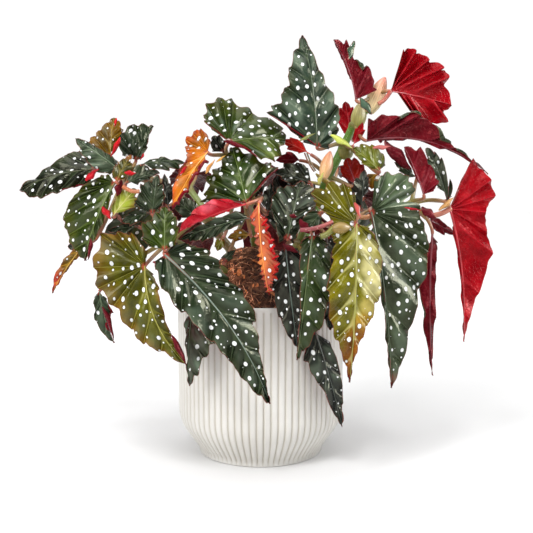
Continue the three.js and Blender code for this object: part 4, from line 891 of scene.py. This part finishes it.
def surface_normals(points, up):
    """Unit normals of a grid of points on the side that up is on, and whether they had to be turned."""
    normal = np.cross(np.gradient(points, axis=1), np.gradient(points, axis=0))
    size = np.linalg.norm(normal, axis=2)
    normal[0] = normal[1]
    for column in range(points.shape[1] - 2, -1, -1):
        flat = size[:, column] < 1e-9
        normal[flat, column] = normal[flat, column + 1]
    flip = np.sum(normal[1:-1, 1:-1] @ up) < 0
    return unit(-normal if flip else normal), flip


def lap_width(count, laps, side):
    """How wide the strip of the edge is that rolls over, at each tooth count."""
    width = np.zeros(len(count))
    for which, start, end, most in laps:
        share = (count - start) / (end - start)
        rolled = (which == side) & (share > 0) & (share < 1)
        strip = most * np.sin(math.pi * np.clip(share, 0, 1)) ** 0.5
        width = np.maximum(width, np.where(rolled, strip, 0))
    return width


def roll_over(half, normals, width, towards):
    """Adds the strip that rolls over to a half blade and gives the normals with the strip's. towards is 1
    where it rolls onto the top and -1 where it rolls onto the underside."""
    points, normal = half["points"], normals[:, -1]
    outward = unit(points[:, -1] - points[:, -2])
    outward = unit(outward - np.sum(outward * normal, axis=1, keepdims=True) * normal)
    radius = np.clip(width * 0.3, 0.05, 1.4)
    strip, strip_normals = [], []
    for j in range(1, ROLL_STEPS + 1):
        run = width * j / ROLL_STEPS
        turn = np.minimum(run / radius, math.pi * 0.97)
        straight = run - turn * radius
        go = radius * np.sin(turn) + straight * np.cos(turn)
        lift = radius * (1 - np.cos(turn)) + straight * np.sin(turn) * 0.5
        strip.append(points[:, -1] + outward * go[:, None] + towards * normal * lift[:, None])
        strip_normals.append(normal * np.cos(turn)[:, None] - towards * outward * np.sin(turn)[:, None])
    reach = width[:, None] * np.arange(1, ROLL_STEPS + 1)[None, :] / ROLL_STEPS
    half["points"] = np.concatenate([points, np.stack(strip, axis=1)], axis=1)
    half["edge"] = np.concatenate([half["edge"] + width[:, None], width[:, None] - reach], axis=1)
    for key, more in (("along", 0 * reach), ("out", 0 * reach), ("vein", 0 * reach), ("across", reach)):
        half[key] = np.concatenate([half[key], half[key][:, -1:] + more], axis=1)
    return np.concatenate([normals, np.stack(strip_normals, axis=1)], axis=1)


def paint(half, side, length, base, edge, marks_and_sheen):
    """The colour of each point: the blade's own, its edge's, and the patches in marks, some of them the
    leaf's own colours and some painted sheen.
    """
    colour = blend(linear(base), linear(edge), smooth(half["out"], 0.55, 1.0)[..., None] * 0.8)
    for along, across, radius, patch_colour in marks_and_sheen:
        gap = np.hypot(half["along"] - along * length / 100, side * half["across"] - across * length / 100)
        share = smooth(gap, radius * length / 100, 0.35 * radius * length / 100)[..., None]
        colour = blend(colour, linear(patch_colour), share)
    return colour


def leaf_colours(leaf, looks):
    """Base and edge, side veins and midrib of the top, and base and veins of the underside."""
    base, edge, vein = TOPS[leaf["colour"]]
    vein = looks.get("vein", vein)
    # Leaves at the back get the darker underside of painted shade.
    other = "shaded" if leaf["shoot"].startswith("back") else "other"
    under, under_vein = UNDERS.get(looks.get("under", leaf["colour"]), UNDERS[other])
    return dict(base=looks.get("base", base), edge=looks.get("edge", edge), vein=vein,
                rib=looks.get("rib", vein), under=looks.get("under_base", under), under_vein=under_vein)


def shows_underside(leaf):
    """The top of the leaf looks away from the front."""
    return leaf["face"][1] > 0 and not leaf["shoot"].startswith("back")


def add_midrib(shell, leaf, axes, rib, under_rib):
    """The raised midrib on both faces."""
    length, up = axes["length"], axes["up"]
    share = np.linspace(0, 0.96, 24)[:, None]
    rise = 4 * ARCH * share * (1 - share)
    bend = leaf.get("bend", 0) * 4 * share * (1 - share)
    line = axes["at"] + length * (share * axes["forward"] + rise * up + bend * axes["left"])
    thick = (length / 150) ** 0.5 * (0.3 + 0.85 * (1 - share[:, 0]) ** 1.2)
    shell.tube(line + 0.05 * up, thick * 0.75, RIB, rib, up=up)
    shell.tube(line - (THIN + 0.25) * up, thick * 1.15, RIB, under_rib, up=up)


def make_leaf(name, leaf, materials):
    looks, axes = LOOKS.get(name, {}), leaf_axes(leaf)
    length, colours = axes["length"], leaf_colours(leaf, looks)
    # The second look value is how much pale grey-green tone and painted sheen the top gets.
    spots, silver_sheen, plain = looks.get("spots", 1), looks.get("silver_sheen", 0.35), looks.get("plain", 0)
    seed = draw(len(name) + leaf["at"][0] * 7 + leaf["at"][2])
    shell = Shell()
    for side, teeth in ((1, leaf["left"]), (-1, leaf["right"])):
        half = half_blade(leaf, axes, looks, side, teeth)
        normals, flip = surface_normals(half["points"], axes["up"])
        width = lap_width(half["count"], looks.get("laps", ()), side)
        if width.any():
            normals = roll_over(half, normals, width, -1 if shows_underside(leaf) else 1)
        stalk = np.hypot(half["along"], half["across"])
        shared = dict(
            place=grid(half["along"] + 900 * seed, side * half["across"] + 400 * seed, half["out"]),
            near=grid(half["vein"] + plain, np.abs(half["across"]), half["edge"]),
            look=grid(spots, silver_sheen, stalk),
        )
        top = paint(half, side, length, colours["base"], colours["edge"], looks.get("marks_and_sheen", ()))
        under = paint(half, side, length, colours["under"], colours["under"], looks.get("under_marks_and_sheen", ()))
        points = half["points"]
        lower = points - normals * THIN
        shell.sheet(points, TOP, flip, tint=top, vein_tint=linear(colours["vein"]), **shared)
        shell.sheet(lower, UNDER, not flip, tint=under, vein_tint=linear(colours["under_vein"]), **shared)
        shell.sheet(np.stack([points[:, -1], lower[:, -1]], axis=1), EDGE, flip, tint=linear(RIM))
        shell.sheet(np.stack([points[-1], lower[-1]], axis=1), EDGE, not flip, tint=linear(RIM))
    add_midrib(shell, leaf, axes, linear(colours["rib"]) * 1.2, linear(colours["under_vein"]))
    replaces = () if leaf.get("small") else (f"leaf_{name}",)
    shell.build(f"blade_{name}", materials, f"leaf_{leaf['colour']}", replaces)


# ---------------------------------------------------------------- canes and stalks


def cubic(points, count):
    """Points along a cubic Bezier curve."""
    t = np.linspace(0, 1, count)[:, None]
    a, b, c, d = points
    return (1 - t) ** 3 * a + 3 * t * (1 - t) ** 2 * b + 3 * t * t * (1 - t) * c + t**3 * d


def through(points, steps):
    """A centripetal Catmull-Rom curve through points, with steps points from one to the next."""
    first, last = 2 * points[0] - points[1], 2 * points[-1] - points[-2]
    padded = [first, *points, last]
    line = []
    for p0, p1, p2, p3 in zip(padded, padded[1:], padded[2:], padded[3:]):
        g0, g1, g2 = (max(np.linalg.norm(b - a) ** 0.5, 1e-4) for a, b in ((p0, p1), (p1, p2), (p2, p3)))
        m1 = g1 * ((p1 - p0) / g0 - (p2 - p0) / (g0 + g1) + (p2 - p1) / g1)
        m2 = g1 * ((p2 - p1) / g1 - (p3 - p1) / (g1 + g2) + (p3 - p2) / g2)
        curve, ease = 3 * (p2 - p1) - 2 * m1 - m2, 2 * (p1 - p2) + m1 + m2
        for t in np.arange(steps) / steps:
            line.append(p1 + m1 * t + curve * t**2 + ease * t**3)
    line.append(points[-1])
    return np.array(line)


def cane_line(name):
    """The middle line of a cane, and for each point how much it is part of a joint, and its radius."""
    joints = [np.array(joint, float) for joint in CANES[name]["joints"]]
    root = joints[0] * (1 - CANE["lean"])
    root[2] = CANE["sink"]
    knots = [root]
    for before, joint in zip([root, *joints], joints):
        knots += [(before + joint) / 2, joint]
    knots.append(joints[-1] + CANE["tip"] * unit(joints[-1] - joints[-2]))
    line = through(knots, 10)
    share = np.linspace(0, 1, len(line))
    beat = share * (len(knots) - 1) / 2
    swell = np.exp(-(((beat - np.round(beat)) / 0.09) ** 2)) * (share < 0.97) * (share > 0.02)
    thick, thin = CANES[name]["radius"]
    return line, swell, (thick + (thin - thick) * share) * (1 + (CANE["swelling"] - 1) * swell)


def stalk_line(leaf):
    """The curve of a leaf's stalk, from the nearest joint of its cane or the one it names, to its blade."""
    axes = leaf_axes(leaf)
    joints = [np.array(joint, float) for joint in CANES[leaf["shoot"]]["joints"][1:]]
    start = min(joints, key=lambda joint: np.linalg.norm(joint - axes["at"]))
    if "joint" in leaf:
        start = joints[leaf["joint"] - 1]
    reach = np.linalg.norm(start - axes["at"])
    under, behind = STALK["far"], STALK["near"]
    if shows_underside(leaf):
        under, behind = behind, under
    end = axes["at"] - (THIN + 0.5) * axes["up"]
    last = end - under * reach * axes["up"] - behind * reach * axes["forward"]
    rise = start + STALK["start"] * (axes["at"] - start)
    rise[2] += STALK["rise"] * reach
    root = start + STALK["root"] * unit(rise - start)
    return cubic([root, rise, np.array(leaf.get("via", last), float), end], 18)


def make_cane(name, material):
    """A cane with the stalks that grow from it, as one piece."""
    shell = Shell()
    line, swell, radius = cane_line(name)
    skin, ring = linear(CANE_TINTS.get(name, CANE_SKIN)), linear(JOINT_RING)
    shell.tube(line, radius, 0, blend(skin, ring, swell[:, None] * 0.75), sides=20, up=(0, 1, 0))
    for leaf in LEAVES.values():
        if leaf["shoot"] != name:
            continue
        bar = stalk_line(leaf)
        share = np.linspace(0, 1, len(bar))
        thick = STALK["cane"] + (STALK["blade"] - STALK["cane"]) * share + 0.9 * (1 - share) ** 8
        tint = blend(linear(STALK_FOOT), linear(STALK_HEAD), share[:, None] ** 1.5)
        shell.tube(bar, thick, 0, tint, sides=10, up=(0.3, 0.9, 0.1))
    shell.build(f"cane_fine_{name}", [material], "stem", [f"cane_{name}"])


# ---------------------------------------------------------------- pot and soil

FIBRES, CHIPS = 1700, 210
# Painted shade: the bottom of each groove is painted darker than the ribs.
GROOVE_SHADE = (0.27, 0.32, 0.4)  # how much of red, green and blue a groove's bottom loses


def pot_outline():
    """The pot's outside from foot to rim as heights and radii, smooth through POT_SIDE."""
    z, r = np.array(POT_SIDE, float).T
    slope = np.gradient(r, z)
    slope[0] = slope[-1] = 0
    rows = []
    for k, gap in enumerate(np.diff(z)):
        for t in np.arange(7) / 7:
            a, b, c, d = 2 * t**3 - 3 * t**2 + 1, t**3 - 2 * t**2 + t, 3 * t**2 - 2 * t**3, t**3 - t**2
            radius = a * r[k] + b * gap * slope[k] + c * r[k + 1] + d * gap * slope[k + 1]
            rows.append((z[k] + gap * t, radius))
    rows += [(height, POT["radius"]) for height in np.linspace(z[-1], POT["rib_top"] - 1.2, 12)]
    return rows


def make_pot(material):
    """The grooved pot in rings, from the hollow of its foot up over the rim to its floor inside."""
    columns = 12
    turn = np.linspace(0, 2 * math.pi, POT["ribs"] * columns + 1)
    groove = (1 - np.abs((np.arange(len(turn)) / columns) % 1 * 2 - 1)) ** 4
    lip, inside, foot = POT["lip"], POT["radius"] - POT["wall"], POT_SIDE[0][1]
    plain = ((0, POT["foot"]), (foot - 7, POT["foot"]), (foot - 5, 0), (foot - 1.2, 0))
    # shaded is how much painted shade a row's grooves get.
    rows = [(radius, height, 0, 0) for radius, height in plain]  # radius, height, how deep and how shaded
    for height, radius in pot_outline():
        depth = smooth(height, 0.0, 7.0) * 0.75 + 0.25
        rows.append((radius, height, depth, depth))
    for above, depth in ((-0.5, 0.8), (0.1, 0.25), (0.5, 0)):
        rows.append((POT["radius"], POT["rib_top"] + above, depth, 0))
    for middle, start in ((POT["radius"] - lip, 0), (inside + lip, math.pi / 2)):
        for angle in np.linspace(start, start + math.pi / 2, 6):
            rows.append((middle + lip * math.cos(angle), POT["height"] - lip + lip * math.sin(angle), 0, 0))
    bowl = ((inside, 160), (inside, 140), (inside, 60), (inside - 12, POT["floor"] + 20))
    for radius, height in (*bowl, (60, POT["floor"]), (0, POT["floor"])):
        rows.append((radius, height, 0, 0))
    radius, height, depth, shaded = np.array(rows, float).T[..., None]
    radius = radius - POT["groove"] * groove * depth
    points = grid(radius * np.cos(turn), radius * np.sin(turn), height)
    shell = Shell()
    # The tint is the painted shade of the grooves.
    shell.sheet(points, 0, True, tint=1 - (groove * shaded)[..., None] * GROOVE_SHADE)
    shell.build("pot_ribbed", [material], "pot", ["pot"])


def mound(turn, share):
    """A point on the root mound: share goes from 0 at its top to 1 at its edge."""
    low = SOIL["level"] - SOIL["buried"]
    radius = SOIL["edge"] * share ** SOIL["spread"]
    height = low + (SOIL["crown"] - low) * np.cos(np.minimum(share, 1) * math.pi / 2) ** SOIL["slope"]
    x = SOIL["x"] * (1 - share) + radius * np.cos(turn)
    y = SOIL["y"] * (1 - share) + radius * np.sin(turn)
    return grid(x, y, height)


def outward(point, height):
    """The way out of the mound at a point, seen from a height on its middle line."""
    return unit(point - np.array((SOIL["x"], SOIL["y"], height)))


def lumps(points, scale, seed):
    """Smooth repeatable unevenness at points, about -1 to 1, with lumps of about scale millimetres."""
    total = 0
    for k in range(7):
        way = np.array([draw(seed + 3 * k + i) - 0.5 for i in range(3)])
        total = total + np.sin(points @ unit(way) * (0.7 + 0.35 * k) / scale + 40 * draw(seed + 50 + k))
    return total / 4


def painted_light_from_left(points):
    """Painted light and shade: the mound is painted paler on its left, where the light falls, and darker
    on its right, where the leaves shade it.
    """
    return 1.7 - 1.1 * smooth(points[..., 0], -45, 15)


def make_mound(material):
    """The root mound and the flat soil round it, down to the pot's floor."""
    turn = np.linspace(0, 2 * math.pi, 181)
    points = mound(turn[None, :], np.linspace(0.001, 1.12, 80)[:, None])
    rough = 1.5 * lumps(points, 6, 1) + 0.8 * lumps(points, 2.2, 30)
    points[..., :2] += (rough * 0.35)[..., None] * np.stack([np.cos(turn), np.sin(turn)], axis=-1)[None]
    points[..., 2] += rough * 0.8
    points[:, -1] = points[:, 0]
    inside = POT["radius"] - POT["wall"] - GAP
    reach = np.hypot(points[..., 0], points[..., 1])
    points[..., 2] = np.maximum(points[..., 2], SOIL["level"] - 1 + 0.5 * rough)
    points[..., :2] *= np.minimum(1, inside / np.maximum(reach, 1e-6))[..., None]
    floor = POT["floor"] + GAP
    below = ((inside, SOIL["level"] - 4), (inside, 60), (62, floor), (0, floor))
    wall = [grid(radius * np.cos(turn), radius * np.sin(turn), height) for radius, height in below]
    points = np.concatenate([points, np.array(wall)])
    # The mound's random tone, times its painted light and shade.
    shade = (0.8 + 0.35 * lumps(points, 9, 70)) * painted_light_from_left(points)
    shell = Shell()
    shell.sheet(points, 0, tint=grid(shade, shade, shade))
    shell.build("root_mound", [material], "soil", ["soil"])


def make_fibres(material):
    """Fine roots that wander over the mound."""
    shell = Shell()
    steps = 5
    for k in range(FIBRES):
        turn, share = 2 * math.pi * draw(k + 0.1), 0.03 + 0.9 * draw(k + 0.2) ** 0.7
        heading, bend = 2 * math.pi * draw(k + 0.3), (draw(k + 0.4) - 0.5) * 0.9
        length = 5 + 12 * draw(k + 0.5) ** 2
        line = []
        for j in range(steps):
            point = mound(np.array(turn), np.array(share))
            lift = 0.4 + 1.6 * draw(k + 0.6) + 1.2 * math.sin(math.pi * j / (steps - 1)) * draw(k + 0.7)
            line.append(point + outward(point, 120.0) * lift)
            way = heading + bend * j / steps
            radius = max(SOIL["edge"] * share ** SOIL["spread"], 4)
            turn += math.sin(way) * length / steps / radius
            share = min(max(share + math.cos(way) * length / steps / 88, 0.02), 0.98)
        # Random tone, times the painted light and shade of the mound.
        tone = (0.2 + 2.0 * draw(k + 0.8) ** 2.5) * painted_light_from_left(point)
        thick = (0.22 + 0.3 * draw(k + 0.9)) * np.array([0.5, 1, 1, 1, 0.4])
        shell.tube(line, thick, 0, (tone, tone, tone), sides=4)
    shell.build("root_fibres", [material], "soil")


def make_chips(material):
    """Flat chips of bark strewn on the mound."""
    shell = Shell()
    for seed in range(5000, 5000 + CHIPS):
        turn, share = 2 * math.pi * draw(seed + 0.1), 0.1 + 0.86 * draw(seed + 0.2) ** 0.6
        point = mound(np.array(turn), np.array(share))
        out = outward(point, 130.0)
        tilt = unit(out + 0.8 * (np.array([draw(seed + 0.3), draw(seed + 0.4), draw(seed + 0.5)]) - 0.5))
        way = unit(np.cross(tilt, (draw(seed + 0.6) - 0.5, draw(seed + 0.7) - 0.5, draw(seed + 0.8) - 0.3)))
        half_length = 1.6 + 4.2 * draw(seed + 0.9) ** 2
        wide = half_length * (0.3 + 0.3 * draw(seed + 0.15)) * np.array([0.5, 0.95, 1, 0.85, 0.4])
        line = point + out * 1.1 + way * np.linspace(-1, 1, 5)[:, None] * half_length
        line = line + tilt * (0.5 * np.array([0, 0.6, 0.9, 0.5, 0]))[:, None]
        # Random tone, times the painted light and shade of the mound.
        tone = np.array((1.0, 0.8, 0.62)) * (0.5 + 1.1 * draw(seed + 0.25)) * painted_light_from_left(point)
        shell.tube(line, wide, 0, tone, sides=6, squash=0.35, up=tilt)
    shell.build("bark_chips", [material], "soil")


# ---------------------------------------------------------------- sheaths and stipules

SCALE_THICK = 0.5


def add_scale(shell, start, end, width, cup, colour, surface):
    """A curved scale, cupped towards the front, with both faces and its two rims."""
    a, b = np.array(start, float), np.array(end, float)
    length = np.linalg.norm(b - a)
    ahead = (b - a) / length
    side = unit(np.cross(ahead, (0.0, -1.0, 0.25)))
    front = np.cross(side, ahead)
    seed = draw(start[0] + 2 * start[2])
    t = np.linspace(0, 1, 14)[:, None]
    s = np.linspace(-1, 1, 9)[None, :]
    widest = 0.3 + 0.25 * seed
    half = width / 2 * np.minimum((t / widest + 0.15) / 1.15, (1 - t) / (1 - widest)) ** 0.75
    bow = 0.1 * length * np.sin(math.pi * t) * (seed - 0.5) + 0.06 * width * np.sin(11 * t + 9 * seed)
    bulge = cup * np.sin(math.pi * t) * (1 - s * s) - 0.15 * width * s * np.sin(3 * t + 9 * seed)
    points = a + (b - a) * t[..., None] + side * (half * s + bow)[..., None] + front * bulge[..., None]
    normals, _ = surface_normals(points, front)
    shared = dict(
        place=grid(t * length + 70 * seed, s * half, 0.5),
        near=grid(9.0, 9.0, half * (1 - np.abs(s))),
        look=(0.9, 0.2, 50.0),
        tint=linear(colour) * (1.15 - 0.4 * smooth(np.abs(s) + 0 * t, 0.3, 1.0))[..., None],
        vein_tint=linear(colour) * 1.5,
    )
    back = points - SCALE_THICK * normals
    shell.sheet(points, surface, **shared)
    shell.sheet(back, surface, True, **shared)
    for column in (0, -1):
        rim = np.stack([points[:, column], back[:, column]], axis=1)
        shell.sheet(rim, surface, column == 0, tint=linear(colour))


def add_sheath(shell, start, end, radius, colour, end_colour):
    """A bud sheath as a flattened spindle, or a thin stalk that sags."""
    a, b = np.array(start, float), np.array(end, float)
    t = np.linspace(0, 1, 18)
    thin = radius < 4
    wide = radius * (1 + 0 * t if thin else np.sin(math.pi * np.clip(0.14 + 0.84 * t, 0, 1)) ** 0.75)
    sag = np.sin(math.pi * t)[:, None] * np.array((0, 0, -2.0 if thin else 0.0))
    line = a + (b - a) * t[:, None] + sag
    tint = blend(linear(colour), linear(end_colour), t[:, None] ** 1.5)
    shell.tube(line, wide, 0, tint, sides=14, squash=1 if thin else 0.8, up=(0, -1, 0.1))


def make_scales(materials, stem_material):
    """The stipules and sheaths at the joints, and the turned margins of leaves."""
    stems, margins = Shell(), Shell()
    surfaces = dict(stem=(stems, 0), top=(margins, TOP), under=(margins, UNDER))
    for *form, kind in SCALES:
        shell, surface = surfaces[kind]
        add_scale(shell, *form, surface)
    for sheath in SHEATHS:
        add_sheath(stems, *sheath)
    stems.build("joint_sheaths", [stem_material], "stem")
    margins.build("turned_margins", materials, "leaf_red")


# ---------------------------------------------------------------- scene

FLOOR = dict(half=6, below=0.0005)  # metres
AIM = (0, 0, 0.25)  # what the lights point at, in metres
# Round lights: where they are and how wide, in metres, their watts, and whether they light surfaces or only
# shine on them.
LIGHTS = dict(
    key=((-1.4, -1.3, 1.1), 1.2, 32, True),
    side=((1.5, -0.9, 0.9), 0.5, 5, True),
    glint=((-0.3, -0.9, 1.5), 0.3, 8, True),
    window=((0.55, -1.3, 0.95), 0.3, 3, True),
    gloss=((1.6, -0.7, 0.95), 1.3, 80, False),
)


def make_light(name, at, size, power, diffuse):
    data = bpy.data.lights.new(name, "AREA")
    data.shape, data.size, data.energy = "DISK", size, power
    light = add_object(name, data)
    light.location = at
    light.visible_diffuse = diffuse
    way = np.array(AIM, float) - np.array(at, float)
    flat = math.hypot(way[0], way[1])
    light.rotation_euler = (math.atan2(flat, -way[2]), 0, math.atan2(-way[0], way[1]))


def make_floor():
    half, z = FLOOR["half"], -FLOOR["below"]
    mesh = bpy.data.meshes.new("floor")
    corners = [(-half, -half, z), (half, -half, z), (half, half, z), (-half, half, z)]
    mesh.from_pydata(corners, [], [(0, 1, 2, 3)])
    mesh.materials.append(floor_material())
    add_object("floor", mesh)


def make_world():
    """The room: dim in front, white behind the plant and bright overhead."""
    world = bpy.data.worlds.new("studio")
    g = Graph(world)
    way = g.parts(g.node("TexCoord").outputs["Generated"])
    behind = g.step(way[1], 0.5, 0.85, ROOM, BACKDROP)
    overhead = g.step(way[2], 0.7, 0.95, ROOM, CEILING)
    background = g.tree.nodes["Background"]
    g.set(background.inputs["Color"], (1, 1, 1, 1))
    g.set(background.inputs["Strength"], g.math("MAXIMUM", behind, overhead))
    bpy.context.scene.world = world


def make_camera():
    camera = add_object("camera", bpy.data.cameras.new("camera"))
    camera.data.lens, camera.data.sensor_width = CAMERA["lens"], CAMERA["sensor"]
    camera.location = [x / 1000 for x in CAMERA["at"]]
    camera.rotation_euler = (math.radians(90 - CAMERA["down"]), 0, 0)
    bpy.context.scene.camera = camera
    bpy.context.scene.view_settings.view_transform = "Standard"


leaf_materials = [
    blade_top_material(), blade_under_material(),
    tissue_material("leaf_rim", 0.5, 0.0), tissue_material("leaf_rib", 0.4, 0.0),
]
stem_material = tissue_material("stem_skin", 0.42, 0.5)
make_floor()
make_world()
for name, light in LIGHTS.items():
    make_light(name, *light)
make_camera()
make_pot(pot_material())
make_mound(soil_material("soil_mound", "#301a12", "#9c6448"))
make_fibres(soil_material("soil_fibre", "#8c563c", "#e0a880"))
make_chips(soil_material("soil_chip", "#a86440", "#dc9c6c"))
for name in CANES:
    make_cane(name, stem_material)
for name, leaf in LEAVES.items():
    make_leaf(name, leaf, leaf_materials)
make_scales(leaf_materials, stem_material)
